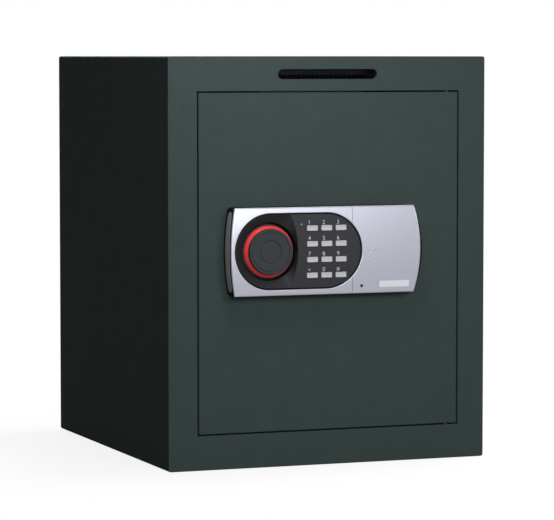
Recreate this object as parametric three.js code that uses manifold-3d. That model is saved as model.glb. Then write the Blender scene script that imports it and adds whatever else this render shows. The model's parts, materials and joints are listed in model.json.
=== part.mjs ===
// Drop safe: a steel case with a deposit slot, a hinged door and an electronic lock.
// Millimetres, +Z up. The origin is the centre of the case's underside. The door faces -Y,
// and its hinge pins are on the right, towards +X. The safe is drawn closed and unlocked.

import * as THREE from 'three';
import { mergeVertices } from 'three/addons/utils/BufferGeometryUtils.js';
import Module from 'manifold-3d';

const wasm = await Module();
wasm.setup();

// Clearances and counts shared by all pieces
const fit = 0.3; // gap between pieces that sit on, in or beside each other
const overrun = 2; // how far a cut runs past the wall that it goes through
const cornerSteps = 2; // half the straight steps in a rounded corner
const keyCornerSteps = 1;
const endSteps = 5; // half the straight steps in an end of the lock panel
const stadiumSteps = 10; // half the straight steps in an end of a stadium
const roundSides = 32;
const smallSides = 12;
const crownSteps = 8;

// Case
const caseWidth = 416;
const caseHeight = 500;
const caseDepth = 450;
const caseWall = 4;
const caseEdgeRadius = 3;
const backThickness = 4;
const anchorHoleRadius = 6;
const anchorSpacing = 260;
const plugFlangeRadius = 9;
const plugFlangeThickness = 1.5;

// Front frame and jamb
const frameThickness = 8;
const frameChamfer = 0.8;
const frameLeft = 37;
const frameRight = 35;
const frameTop = 42;
const frameBottom = 42;
const jambWall = 3;
const jambDepth = 17;

// Deposit slot and chute
const slotLength = 130;
const slotHeight = 12;
const slotOffset = -2;
const slotDrop = 21.6; // from the top of the case to the middle of the slot
const slotLip = 5; // plate left in front of the chute's mouth
const chuteMargin = 2; // how much wider and higher the chute is than the slot, all round
const chuteWall = 2;
const chuteRoofRun = 62;
const chuteFloorRun = 50;
const chuteDrop = 30; // from the underside of the chute's floor to its open bottom
const chuteSlopeAngle = Math.PI / 4;
const baffleThickness = 1.5;
const baffleSetback = 24; // from the chute's mouth to the front edge of the baffle
const baffleFlange = 12;
const baffleHang = 7; // how far the blade hangs down from the roof, without its teeth
const baffleAngle = Math.PI / 4;
const toothCount = 22;
const toothDepth = 3;

// Door and hinge pins
const doorGap = 1.7;
const doorThickness = 8;
const doorChamfer = 0.8;
const hingeInset = 14; // from the door's right edge to the hinge axis
const hingePinRadius = 2.5;
const hingePinInFrame = 15;
const hingePinInDoor = 14;

// Inner cover of the door
const panInset = 8.3;
const panInsetRight = 6.3;
const panDepth = 39;
const panWall = 2;
const standoffRadius = 5;
const standoffInset = 14; // from the pan's wall to the middle of a standoff
const screwRadius = 2;
const screwHeadRadius = 4;
const screwHeadHeight = 2.4;
const screwDepth = 10;

// Dead bar on the hinge side
const deadBarThickness = 3;
const deadBarReach = 18;
const deadBarEndGap = 46.3; // from the door's top and bottom edges to the bar's ends
const deadBarBehindJamb = 2;

// Bolt work
const boltRadius = 9;
const boltLength = 50;
const boltEndInset = 20; // from the carriage's ends to the outer bolts
const boltProud = 6; // how far a drawn bolt stands out of the pan
const boltBehindJamb = 1;
const boltTipChamfer = 1.5;
const crankRadius = 12;
const crankPinRadius = 2.5;
const crankPinProud = 1;
const knobTurn = (70 * Math.PI) / 180;
const carriageThickness = 4;
const carriageReach = 26.4; // how far the carriage runs past the knob's axis
const carriageEndGap = 76.3; // from the door's top and bottom edges to the carriage's ends
const carriageBehindDoor = 10; // from the door plate's back to the carriage
const shelfThickness = 3;
const shelfDepth = 19;
const shelfSetback = 4; // from the carriage's right edge to the shelf's
const guideBossRadius = 6;
const guideShankRadius = 2.5;
const guideShankDepth = 6;
const guideHeadRadius = 6;
const guideHeadHeight = 3;
const guideEndInset = 45; // from the carriage's ends to the guide screws
const guideOffset = -8.6; // from the knob's axis to the guide screws, in X

// Solenoid and its plunger
const plungerRadius = 3;
const plungerTravel = 6;
const plungerOffset = -11.6; // from the knob's axis to the plunger, in X
const plungerBehindDoor = 24;
const plungerCollarRadius = 5;
const plungerCollarHeight = 2;
const solenoidWall = 2;
const solenoidWidth = 24;
const solenoidHeight = 38;
const solenoidDepth = 34;
const coilRadius = 9.5;

// Lock panel on the door's front
const panelInset = 31.6; // from the door's left edge to the panel
const panelRise = 15; // from the door's middle up to the panel's
const panelLength = 247.6;
const panelHeight = 107;
const panelBulgeLeft = 5.3;
const panelBulgeRight = 8;
const housingDepth = 22.2; // at the panel's top and bottom edges
const housingWall = 2.5;
const housingFloor = 2;
const shellThickness = 2.5;
const crownRise = 2.5;
const shellEdgeRadius = 1.8;
const edgeRoundShare = 0.3; // where the rounding's middle point lies, as a part of its radius
const seamFromStadium = 33.8; // from the middle of the stadium's right end to the cover's seam
const seamGap = 0.4;

// Keypad insert, a stadium with the knob's well at its left
const stadiumRadius = 46.3;
const stadiumSpan = 72.6; // between the middles of its two ends
const insertRecess = 1.7;
const insertEdge = 2.4; // thickness at the top and bottom of the insert
const insertLip = 2;
const insertLipThickness = 1.1;
const wellRadius = 35;
const wellDepth = 17;
const wellWall = 2;
const wellFloor = 2;
const funnelDepth = 6;
const funnelLand = 1;
const creaseRadius = 110.2;
const creaseReach = 35.5; // from the knob's axis to the crease beside the keys
const funnelSteps = 40;

// Knob
const knobInset = 51.3; // from the panel's left end to the knob's axis
const knobRadius = 26.7;
const knobProud = 0.5;
const knobHeight = 7.8; // from the red ring to the knob's front
const knobEdgeRadius = 1;
const knobNeckRadius = 24;
const knobBaseRadius = 33;
const knobBaseHeight = 4.5;
const ringRadius = 31.6;
const ringThickness = 2;
const knobGrooveOuterShare = 0.9;
const knobGrooveInnerShare = 0.49;
const knobGrooveWidth = 0.8;
const knobGrooveDepth = 0.5;
const spindleRadius = 4;
const spindleInKnob = 7.5;
const bushingRadius = 6;
const bushingNutRadius = 9;
const bushingNutThickness = 2;
const camRadius = 17;
const camThickness = 4;

// Keys, mat, board and status light
const keyColumns = 3;
const keyRows = 4;
const keyPitchX = 18.7;
const keyPitchZ = 19.1;
const keysFromKnob = 72.8; // to the middle column
const keysRise = -1; // from the panel's middle to the keys' middle
const keyWidth = 14;
const keyHeight = 6.5;
const keyCorner = 1;
const keyProud = 1.1;
const keyTravel = 0.8;
const keyFlange = 1; // how far the flange behind the insert is wider than the key, all round
const keyFlangeThickness = 1;
const keyNames = ['1', '2', '3', '4', '5', '6', '7', '8', '9', 'star', '0', 'hash'];
const matThickness = 1.2;
const matMargin = 3;
const domeSides = 8;
const domeRadius = 2.6;
const domeHeight = 2.6;
const boardThickness = 1.6;
const boardFromKnob = 38; // from the knob's axis to the board's left edge
const boardLength = 68.5;
const boardHeight = 80;
const boardPostRadius = 3;
const boardPostInset = 4;
const ledFromKnob = 40.2;
const ledRise = 32;
const ledRadius = 1.5;
const ledProud = 0.4;

// Battery tray under the sliding cover
const cellRadius = 7.25;
const cellLength = 49.2;
const cellNubRadius = 2.75;
const cellNubLength = 1.3;
const cellCount = 4;
const cellPitch = 15;
const trayWall = 1.2;
const trayHeight = 11;
const trayInset = 6.2; // from the panel's right end to the tray
const coverScrewFromSeam = 12.1;
const coverScrewRise = -44.1;
const coverScrewRadius = 1.6;

// Override lock under the battery cover
const overrideFromSeam = 19.1;
const overrideRadius = 9.3;
const overrideFront = 18; // from the door's front to the lock's front
const overrideBack = 17; // from the door plate's back to the lock's back end
const plugRadius = 6;
const keySlotWidth = 1.4;
const keySlotHeight = 8;
const keySlotDepth = 20;
const nutSides = 6;
const nutRadius = 13;
const nutThickness = 5;
const camLeverLength = 24;
const camLeverRadius = 5;
const camLeverThickness = 2;

// Levels and places worked out from the sizes above
const frontY = -caseDepth / 2;
const backY = caseDepth / 2;
const openLeft = -caseWidth / 2 + frameLeft;
const openRight = caseWidth / 2 - frameRight;
const openBottom = frameBottom;
const openTop = caseHeight - frameTop;
const frameBackY = frontY + frameThickness;
const jambBackY = frameBackY + jambDepth;
const slotZ = caseHeight - slotDrop;
const doorLeft = openLeft + doorGap;
const doorRight = openRight - doorGap;
const doorBottom = openBottom + doorGap;
const doorTop = openTop - doorGap;
const doorMiddleZ = (doorBottom + doorTop) / 2;
const doorBackY = frontY + doorThickness;
const hingeX = doorRight - hingeInset;
const hingeY = frontY + doorThickness / 2;
const panLeft = doorLeft + panInset;
const panRight = doorRight - panInsetRight;
const panBottom = doorBottom + panInset;
const panTop = doorTop - panInset;
const panBackY = doorBackY + panDepth;
const panelX = doorLeft + panelInset + panelLength / 2;
const panelZ = doorMiddleZ + panelRise;
const knobAxisX = doorLeft + panelInset + knobInset;
const stadiumRightX = knobAxisX + stadiumSpan;
const seamX = stadiumRightX + seamFromStadium;
const keysX = knobAxisX + keysFromKnob;
const boardLeft = knobAxisX + boardFromKnob;
const boardRight = boardLeft + boardLength;
const ledX = knobAxisX + ledFromKnob;
const coverScrewX = seamX + coverScrewFromSeam;
const coverScrewZ = panelZ + coverScrewRise;
const boltThrow = 2 * crankRadius * Math.sin(knobTurn / 2);
const boltTipX = panLeft - boltProud;
const boltButtX = boltTipX + boltLength;
const boltY = jambBackY + boltBehindJamb + boltRadius;
const carriageFrontY = doorBackY + carriageBehindDoor;
const carriageBackY = carriageFrontY + carriageThickness;
const carriageRight = knobAxisX + carriageReach;
const carriageBottom = doorBottom + carriageEndGap;
const carriageTop = doorTop - carriageEndGap;
const housingFrontY = frontY - housingDepth;
const crownFrontY = housingFrontY - fit - shellThickness - crownRise;
const housingFloorY = frontY - housingFloor;
const insertFrontY = crownFrontY + insertRecess;
const insertBackY = insertFrontY + crownRise * (stadiumRadius / (panelHeight / 2)) ** 2 + insertEdge;
const wellFloorY = insertFrontY + wellDepth;
const knobFrontY = insertFrontY - knobProud;
const ringFrontY = knobFrontY + knobHeight;
const ringBackY = ringFrontY + fit + ringThickness + fit;
const knobBaseY = ringBackY + knobBaseHeight;
const bushingBackY = doorBackY + bushingNutThickness;
const camFrontY = bushingBackY + fit;
const camBackY = camFrontY + camThickness;
const keyFlangeY = insertBackY + fit;
const matTopY = keyFlangeY + keyFlangeThickness + keyTravel + fit;
const matFrontY = matTopY + domeHeight;
const boardFrontY = matFrontY + matThickness + fit;
const boardBackY = boardFrontY + boardThickness;
const trayRight = panelX + panelLength / 2 - trayInset;
const trayLeft = trayRight - 2 * trayWall - 2 * fit - cellLength - cellNubLength;
const trayHalfHeight = (cellCount * cellPitch) / 2 + trayWall;
const trayFloorY = housingFloorY - trayWall;
const cellY = trayFloorY - fit - cellRadius;
const overrideX = seamX + overrideFromSeam;
const overrideZ = panelZ + trayHalfHeight + fit + overrideRadius;
const plungerX = knobAxisX + plungerOffset;
const plungerY = doorBackY + plungerBehindDoor;
const plungerTipZ = carriageTop + fit;
const collarZ = carriageTop + fit + plungerTravel;
const solenoidZ = collarZ + plungerCollarHeight + fit;

// Finishes
const finish = (color, roughness, metalness) =>
  new THREE.MeshStandardMaterial({ color, roughness, metalness });
const greenPaint = finish(0x3e4746, 0.6, 0.1);
const silverPaint = finish(0xc3c6d0, 0.35, 0.6);
const blackGloss = finish(0x1b1d1f, 0.2, 0);
const blackPlastic = finish(0x232526, 0.55, 0);
const redPlastic = finish(0xc42f2c, 0.35, 0);
const keyPlastic = finish(0xbcbec4, 0.45, 0);
const zincSteel = finish(0xa7abae, 0.35, 0.9);
const darkSteel = finish(0x34373a, 0.5, 0.8);
const brass = finish(0xb08d4b, 0.35, 0.9);
const greyRubber = finish(0x77797b, 0.8, 0);
const boardGreen = finish(0x1f5a36, 0.5, 0);
const cellJacket = finish(0x2c2f33, 0.4, 0.1);
const lightLens = finish(0x8fc97c, 0.2, 0);
const coilTape = finish(0x3a2b20, 0.6, 0);

// Outlines

function rectangle(left, right, bottom, top) {
  const shape = new THREE.Shape();
  shape.moveTo(left, bottom).lineTo(right, bottom).lineTo(right, top).lineTo(left, top).closePath();
  return shape;
}

function roundedRectangle(left, right, bottom, top, radius) {
  const shape = new THREE.Shape();
  shape.absarc(right - radius, bottom + radius, radius, -Math.PI / 2, 0);
  shape.absarc(right - radius, top - radius, radius, 0, Math.PI / 2);
  shape.absarc(left + radius, top - radius, radius, Math.PI / 2, Math.PI);
  shape.absarc(left + radius, bottom + radius, radius, Math.PI, 1.5 * Math.PI);
  return shape;
}

function stadium(leftX, rightX, z, radius) {
  const shape = new THREE.Shape();
  shape.absarc(rightX, z, radius, -Math.PI / 2, Math.PI / 2);
  shape.absarc(leftX, z, radius, Math.PI / 2, 1.5 * Math.PI);
  return shape;
}

// The lock panel seen from the front: flat top and bottom, and ends that bulge outwards.
function panelOutline(inset) {
  const halfHeight = panelHeight / 2 - inset;
  const halfLength = panelLength / 2 - inset;
  const endArc = (bulge) => {
    const radius = (halfHeight ** 2 + bulge ** 2) / (2 * bulge);
    return { radius, angle: Math.asin(halfHeight / radius) };
  };
  const right = endArc(panelBulgeRight);
  const left = endArc(panelBulgeLeft);
  const shape = new THREE.Shape();
  shape.absarc(panelX + halfLength - right.radius, panelZ, right.radius, -right.angle, right.angle);
  const leftX = panelX - halfLength + left.radius;
  shape.absarc(leftX, panelZ, left.radius, Math.PI - left.angle, Math.PI + left.angle);
  return shape;
}

// Solids

function alongY(shape, front, back, curveSegments = cornerSteps) {
  const geometry = new THREE.ExtrudeGeometry(shape, {
    depth: back - front, bevelEnabled: false, curveSegments,
  });
  return geometry.rotateX(Math.PI / 2).translate(0, back, 0);
}

function alongZ(shape, bottom, top) {
  const geometry = new THREE.ExtrudeGeometry(shape, { depth: top - bottom, bevelEnabled: false });
  return geometry.translate(0, 0, bottom);
}

// The shape's own x and y become the part's y and z.
function alongX(shape, left, right) {
  const geometry = new THREE.ExtrudeGeometry(shape, { depth: right - left, bevelEnabled: false });
  const turn = new THREE.Matrix4().makeBasis(
    new THREE.Vector3(0, 1, 0), new THREE.Vector3(0, 0, 1), new THREE.Vector3(1, 0, 0));
  return geometry.applyMatrix4(turn).translate(left, 0, 0);
}

function box(left, right, front, back, bottom, top) {
  const geometry = new THREE.BoxGeometry(right - left, back - front, top - bottom);
  return geometry.translate((left + right) / 2, (front + back) / 2, (bottom + top) / 2);
}

function rodAlongY(radius, x, front, back, z, sides = roundSides) {
  const geometry = new THREE.CylinderGeometry(radius, radius, back - front, sides);
  return geometry.translate(x, (front + back) / 2, z);
}

function rodAlongZ(radius, x, y, bottom, top, sides = roundSides) {
  const geometry = new THREE.CylinderGeometry(radius, radius, top - bottom, sides);
  return geometry.rotateX(Math.PI / 2).translate(x, y, (bottom + top) / 2);
}

// A turned piece on an axis along Y. Its profile is a closed list of [radius, y].
function turned(profile, x, z, sides = roundSides) {
  const points = profile.map(([radius, y]) => new THREE.Vector2(radius, y));
  return new THREE.LatheGeometry(points, sides).translate(x, 0, z);
}

// A skin over rings that have equal numbers of points, closed by a fan at each end.
function loft(rings) {
  const count = rings[0].length;
  const positions = rings.flat().flatMap((point) => point.toArray());
  const index = [];
  for (let ring = 0; ring < rings.length - 1; ring += 1) {
    for (let step = 0; step < count; step += 1) {
      const next = (step + 1) % count;
      const a = ring * count + step;
      const b = ring * count + next;
      index.push(a, b, b + count, a, b + count, a + count);
    }
  }
  const middle = (ring) => ring
    .reduce((sum, point) => sum.add(point), new THREE.Vector3())
    .divideScalar(count);
  const first = positions.length / 3;
  positions.push(...middle(rings[0]).toArray(), ...middle(rings.at(-1)).toArray());
  const last = (rings.length - 1) * count;
  for (let step = 0; step < count; step += 1) {
    const next = (step + 1) % count;
    index.push(first, next, step);
    index.push(first + 1, last + step, last + next);
  }
  const geometry = new THREE.BufferGeometry();
  geometry.setAttribute('position', new THREE.Float32BufferAttribute(positions, 3));
  geometry.setIndex(index);
  return geometry;
}

// Joins and cuts

function merged(geometry) {
  const bare = geometry.clone();
  bare.deleteAttribute('normal');
  bare.deleteAttribute('uv');
  const welded = mergeVertices(bare);
  const position = welded.getAttribute('position');
  const index = [];
  let volume = 0;
  const [a, b, c] = [new THREE.Vector3(), new THREE.Vector3(), new THREE.Vector3()];
  for (let corner = 0; corner < welded.index.count; corner += 3) {
    const [i, j, k] = [0, 1, 2].map((offset) => welded.index.getX(corner + offset));
    if (i === j || j === k || k === i) continue;
    index.push(i, j, k);
    a.fromBufferAttribute(position, i);
    b.fromBufferAttribute(position, j);
    c.fromBufferAttribute(position, k);
    volume += a.dot(b.cross(c));
  }
  if (volume < 0) index.reverse();
  welded.setIndex(index);
  return welded;
}

function solid(geometry) {
  const welded = merged(geometry);
  return new wasm.Manifold(new wasm.Mesh({
    numProp: 3,
    vertProperties: new Float32Array(welded.getAttribute('position').array),
    triVerts: new Uint32Array(welded.index.array),
  }));
}

function geometryOf(manifold) {
  const mesh = manifold.getMesh();
  const geometry = new THREE.BufferGeometry();
  geometry.setAttribute('position', new THREE.BufferAttribute(new Float32Array(mesh.vertProperties), 3));
  geometry.setIndex(new THREE.BufferAttribute(new Uint32Array(mesh.triVerts), 1));
  return geometry;
}

function join(...geometries) {
  return geometryOf(geometries.map(solid).reduce((whole, next) => whole.add(next)));
}

function cut(geometry, ...tools) {
  return geometryOf(tools.map(solid).reduce((left, tool) => left.subtract(tool), solid(geometry)));
}

function common(first, second) {
  return geometryOf(solid(first).intersect(solid(second)));
}

const safe = new THREE.Group();

function piece(name, geometry, material) {
  const mesh = new THREE.Mesh(merged(geometry), material);
  mesh.name = name;
  safe.add(mesh);
}

// Case

function chamferedPlate(left, right, bottom, top, radius, front, back, chamfer) {
  const ring = (y, inset) => roundedRectangle(
    left + inset, right - inset, bottom + inset, top - inset, radius)
    .extractPoints(cornerSteps).shape.slice(0, -1)
    .map((point) => new THREE.Vector3(point.x, y, point.y));
  return loft([ring(front, chamfer), ring(front + chamfer, 0), ring(back, 0)]);
}

function caseOutline() {
  return roundedRectangle(-caseWidth / 2, caseWidth / 2, 0, caseHeight, caseEdgeRadius);
}

function makeCase() {
  const wrapBackY = backY - backThickness;
  const wrap = caseOutline();
  wrap.holes.push(rectangle(
    -caseWidth / 2 + caseWall, caseWidth / 2 - caseWall, caseWall, caseHeight - caseWall));
  const anchors = { left: -anchorSpacing / 2, right: anchorSpacing / 2 };
  const holes = Object.values(anchors).map((x) => rodAlongZ(
    anchorHoleRadius, x, 0, -overrun, caseWall + overrun, smallSides));
  piece('case_wrap', cut(alongY(wrap, frameBackY, wrapBackY), ...holes), greenPaint);
  piece('back_panel', alongY(caseOutline(), wrapBackY, backY), greenPaint);
  const plugTop = caseWall + fit + plugFlangeThickness;
  for (const [side, x] of Object.entries(anchors)) {
    piece(`anchor_plug_${side}`, join(
      rodAlongZ(anchorHoleRadius - fit, x, 0, fit, plugTop, smallSides),
      rodAlongZ(plugFlangeRadius, x, 0, caseWall + fit, plugTop, smallSides)), greyRubber);
  }
}

function hingeHoles(reachUp, reachDown) {
  const radius = hingePinRadius + fit;
  return [
    rodAlongZ(radius, hingeX, hingeY, doorTop - reachDown, openTop + reachUp, smallSides),
    rodAlongZ(radius, hingeX, hingeY, openBottom - reachUp, doorBottom + reachDown, smallSides),
  ];
}

function makeFrame() {
  const plate = chamferedPlate(
    -caseWidth / 2, caseWidth / 2, 0, caseHeight, caseEdgeRadius, frontY, frameBackY, frameChamfer);
  const opening = box(openLeft, openRight, frontY - overrun, frameBackY + overrun, openBottom, openTop);
  const slotEnd = (slotLength - slotHeight) / 2;
  const slot = alongY(
    stadium(slotOffset - slotEnd, slotOffset + slotEnd, slotZ, slotHeight / 2),
    frontY - overrun, frameBackY + overrun, endSteps);
  const mouthWidth = slotLength / 2 + chuteMargin + chuteWall + fit;
  const mouthHeight = slotHeight / 2 + chuteMargin + chuteWall + fit;
  const pocket = box(
    slotOffset - mouthWidth, slotOffset + mouthWidth,
    frontY + slotLip, frameBackY + overrun,
    slotZ - mouthHeight, slotZ + mouthHeight);
  const pinDepth = hingePinInFrame + fit;
  piece('front_frame', cut(plate, opening, slot, pocket, ...hingeHoles(pinDepth, 0)), greenPaint);

  const jamb = rectangle(
    openLeft - jambWall, openRight + jambWall, openBottom - jambWall, openTop + jambWall);
  jamb.holes.push(rectangle(openLeft, openRight, openBottom, openTop));
  piece('door_jamb', alongY(jamb, frameBackY, jambBackY), greenPaint);

  const pin = (bottom, top) => rodAlongZ(hingePinRadius, hingeX, hingeY, bottom, top, smallSides);
  piece('hinge_pin_upper', pin(doorTop - hingePinInDoor, openTop + hingePinInFrame), zincSteel);
  piece('hinge_pin_lower', pin(openBottom - hingePinInFrame, doorBottom + hingePinInDoor), zincSteel);
}

// The chute from the side: a level mouth behind the slot, and a hood that is open at the bottom.
// The hood's roof slopes down at the back. The section shrinks by inset and runs out by reach.
function chuteSection(inset, reach) {
  const high = slotHeight / 2 + chuteMargin + chuteWall - inset;
  const mouthY = frontY + slotLip + fit;
  const floorY = mouthY + chuteFloorRun + inset;
  const bendY = mouthY + chuteRoofRun - inset * Math.tan(chuteSlopeAngle / 2);
  const bottomZ = slotZ - slotHeight / 2 - chuteMargin - chuteWall - chuteDrop - reach;
  const shape = new THREE.Shape();
  shape.moveTo(mouthY - reach, slotZ - high);
  shape.lineTo(floorY, slotZ - high);
  shape.lineTo(floorY, bottomZ);
  shape.lineTo(bendY + (slotZ + high - bottomZ) / Math.tan(chuteSlopeAngle), bottomZ);
  shape.lineTo(bendY, slotZ + high);
  shape.lineTo(mouthY - reach, slotZ + high);
  return shape;
}

function makeChute() {
  const innerWidth = slotLength / 2 + chuteMargin;
  const innerHeight = slotHeight / 2 + chuteMargin;
  const outside = alongX(
    chuteSection(0, 0), slotOffset - innerWidth - chuteWall, slotOffset + innerWidth + chuteWall);
  const inside = alongX(
    chuteSection(chuteWall, overrun), slotOffset - innerWidth, slotOffset + innerWidth);
  piece('deposit_chute', cut(outside, inside), darkSteel);

  // The blade's lower edge is a row of teeth that point inwards.
  const width = 2 * (innerWidth - fit);
  const blade = new THREE.Shape();
  blade.moveTo(-width / 2, 0);
  blade.lineTo(width / 2, 0);
  const pitch = width / toothCount;
  const edge = baffleHang / Math.sin(baffleAngle);
  blade.lineTo(width / 2, edge);
  for (let tooth = 0; tooth < toothCount; tooth += 1) {
    const right = width / 2 - tooth * pitch;
    blade.lineTo(right - pitch / 2, edge + toothDepth);
    blade.lineTo(right - pitch, edge);
  }
  const roofZ = slotZ + innerHeight - fit;
  const bladeY = frontY + slotLip + fit + baffleSetback;
  const teeth = alongZ(blade, -baffleThickness, 0).rotateX(-baffleAngle)
    .translate(slotOffset, bladeY, roofZ);
  const flange = box(
    slotOffset - width / 2, slotOffset + width / 2, bladeY, bladeY + baffleFlange,
    roofZ - baffleThickness, roofZ);
  piece('anti_fish_baffle', join(teeth, flange), zincSteel);
}

// Door

function standoffPlaces() {
  const columns = [panLeft + standoffInset, panRight - standoffInset];
  return columns.flatMap((x) => [panBottom + standoffInset, panTop - standoffInset].map((z) => [x, z]));
}

function guidePlaces() {
  return [carriageBottom + guideEndInset, carriageTop - guideEndInset]
    .map((z) => [knobAxisX + guideOffset, z]);
}

function boltHeights() {
  return [carriageBottom + boltEndInset, doorMiddleZ, carriageTop - boltEndInset];
}

// A screw whose head sits at headY, with its shank towards the front.
function screw(x, z, headY, shankRadius, shankLength, headRadius, headHeight) {
  return join(
    rodAlongY(shankRadius, x, headY - shankLength, headY + headHeight, z, smallSides),
    rodAlongY(headRadius, x, headY, headY + headHeight, z, smallSides));
}

function makeDoor() {
  const plate = chamferedPlate(
    doorLeft, doorRight, doorBottom, doorTop, doorChamfer, frontY, doorBackY, doorChamfer);
  const through = (radius, x, z) => rodAlongY(
    radius, x, frontY - overrun, doorBackY + overrun, z, smallSides);
  const post = (radius, backEnd) => ([x, z]) => rodAlongY(
    radius, x, hingeY, backEnd, z, smallSides);
  const bore = (radius, backEnd, depth) => ([x, z]) => rodAlongY(
    radius + fit, x, backEnd - depth - fit, backEnd + overrun, z, smallSides);
  const standoffBackY = panBackY - panWall;
  const bossBackY = carriageFrontY - fit;
  piece('door_plate', cut(
    join(
      plate,
      ...standoffPlaces().map(post(standoffRadius, standoffBackY)),
      ...guidePlaces().map(post(guideBossRadius, bossBackY))),
    ...standoffPlaces().map(bore(screwRadius, standoffBackY, screwDepth)),
    ...guidePlaces().map(bore(guideShankRadius, bossBackY, guideShankDepth)),
    ...hingeHoles(0, hingePinInDoor + fit),
    through(bushingRadius + fit, knobAxisX, panelZ),
    through(overrideRadius + fit, overrideX, overrideZ)), greenPaint);

  const tray = box(panLeft, panRight, doorBackY, panBackY, panBottom, panTop);
  const inside = box(
    panLeft + panWall, panRight - panWall, doorBackY - overrun, panBackY - panWall,
    panBottom + panWall, panTop - panWall);
  const boltHoles = boltHeights().map((z) => rodAlongY(
    boltRadius + 2 * fit, 0, panLeft - overrun, panLeft + panWall + overrun, 0)
    .rotateZ(-Math.PI / 2).translate(0, boltY, z));
  const screwHoles = standoffPlaces().map(([x, z]) => rodAlongY(
    screwRadius + fit, x, panBackY - panWall - overrun, panBackY + overrun, z, smallSides));
  piece('door_inner_cover', cut(tray, inside, ...boltHoles, ...screwHoles), greenPaint);

  standoffPlaces().forEach(([x, z], number) => {
    piece(`inner_cover_screw_${number + 1}`, screw(
      x, z, panBackY, screwRadius, screwDepth + panWall, screwHeadRadius, screwHeadHeight), zincSteel);
  });

  const barY = jambBackY + deadBarBehindJamb;
  const angle = new THREE.Shape();
  angle.moveTo(panRight, doorBackY + fit);
  angle.lineTo(panRight + deadBarThickness, doorBackY + fit);
  angle.lineTo(panRight + deadBarThickness, barY);
  angle.lineTo(panRight + deadBarReach, barY);
  angle.lineTo(panRight + deadBarReach, barY + deadBarThickness);
  angle.lineTo(panRight, barY + deadBarThickness);
  piece('dead_bar', alongZ(angle, doorBottom + deadBarEndGap, doorTop - deadBarEndGap), zincSteel);
}

// Bolt work inside the door

function makeBoltWork() {
  const section = new THREE.Shape();
  section.moveTo(boltButtX, carriageFrontY);
  section.lineTo(carriageRight, carriageFrontY);
  section.lineTo(carriageRight, carriageBackY);
  section.lineTo(boltButtX + carriageThickness, carriageBackY);
  section.lineTo(boltButtX + carriageThickness, boltY + boltRadius);
  section.lineTo(boltButtX, boltY + boltRadius);
  const shelf = box(
    boltButtX + carriageThickness / 2, carriageRight - shelfSetback,
    carriageBackY - carriageThickness / 2, carriageBackY + shelfDepth,
    carriageTop - shelfThickness, carriageTop);
  const lockHoles = [0, boltThrow].map((step) => rodAlongZ(
    plungerRadius + 2 * fit, plungerX + step, plungerY,
    carriageTop - shelfThickness - overrun, carriageTop + overrun, smallSides));
  const slotRadius = guideShankRadius + fit;
  const guideSlots = guidePlaces().map(([x, z]) => alongY(
    stadium(x, x + boltThrow, z, slotRadius),
    carriageFrontY - overrun, carriageBackY + overrun, cornerSteps));
  const pinX = knobAxisX + crankRadius * Math.sin(knobTurn / 2);
  const lowest = panelZ + crankRadius * Math.cos(knobTurn / 2) - crankPinRadius - 2 * fit;
  const highest = panelZ + crankRadius + crankPinRadius + 2 * fit;
  const crankSlot = box(
    pinX - crankPinRadius - fit, pinX + crankPinRadius + fit,
    carriageFrontY - overrun, carriageBackY + overrun, lowest, highest);
  piece('bolt_carriage', cut(
    join(alongZ(section, carriageBottom, carriageTop), shelf),
    ...lockHoles, ...guideSlots, crankSlot), zincSteel);

  const boltNames = ['lower', 'middle', 'upper'];
  boltHeights().forEach((z, step) => {
    const profile = [
      [0, boltTipX], [boltRadius - boltTipChamfer, boltTipX], [boltRadius, boltTipX + boltTipChamfer],
      [boltRadius, boltButtX], [0, boltButtX],
    ];
    const bolt = turned(profile, 0, 0).rotateZ(-Math.PI / 2).translate(0, boltY, z);
    piece(`locking_bolt_${boltNames[step]}`, bolt, zincSteel);
  });

  const headY = carriageBackY + fit;
  const shankLength = headY - (carriageFrontY - fit) + guideShankDepth;
  guidePlaces().forEach(([x, z], number) => {
    piece(`guide_screw_${number ? 'upper' : 'lower'}`, screw(
      x, z, headY, guideShankRadius, shankLength, guideHeadRadius, guideHeadHeight), darkSteel);
  });
}

function makeSolenoid() {
  const [left, right] = [plungerX - solenoidWidth / 2, plungerX + solenoidWidth / 2];
  const top = solenoidZ + solenoidHeight;
  const bracket = new THREE.Shape();
  const deep = doorBackY + solenoidDepth;
  bracket.moveTo(doorBackY, solenoidZ);
  bracket.lineTo(deep, solenoidZ);
  bracket.lineTo(deep, solenoidZ + solenoidWall);
  bracket.lineTo(doorBackY + solenoidWall, solenoidZ + solenoidWall);
  bracket.lineTo(doorBackY + solenoidWall, top - solenoidWall);
  bracket.lineTo(deep, top - solenoidWall);
  bracket.lineTo(deep, top);
  bracket.lineTo(doorBackY, top);
  const bore = rodAlongZ(
    plungerRadius + fit, plungerX, plungerY, solenoidZ - overrun, top + overrun, smallSides);
  piece('solenoid_frame', cut(alongX(bracket, left, right), bore), darkSteel);
  const coilBottom = solenoidZ + solenoidWall;
  const coilTop = top - solenoidWall;
  piece('solenoid_coil', cut(
    rodAlongZ(coilRadius, plungerX, plungerY, coilBottom, coilTop), bore), coilTape);
  piece('solenoid_plunger', join(
    rodAlongZ(plungerRadius, plungerX, plungerY, plungerTipZ, coilTop - plungerTravel, smallSides),
    rodAlongZ(plungerCollarRadius, plungerX, plungerY, collarZ, collarZ + plungerCollarHeight, smallSides)),
  zincSteel);
}

// Lock panel

// How far back the panel's crowned front is at a height above or below its middle.
function crownDrop(height) {
  return crownRise * (height / (panelHeight / 2)) ** 2;
}

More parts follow.
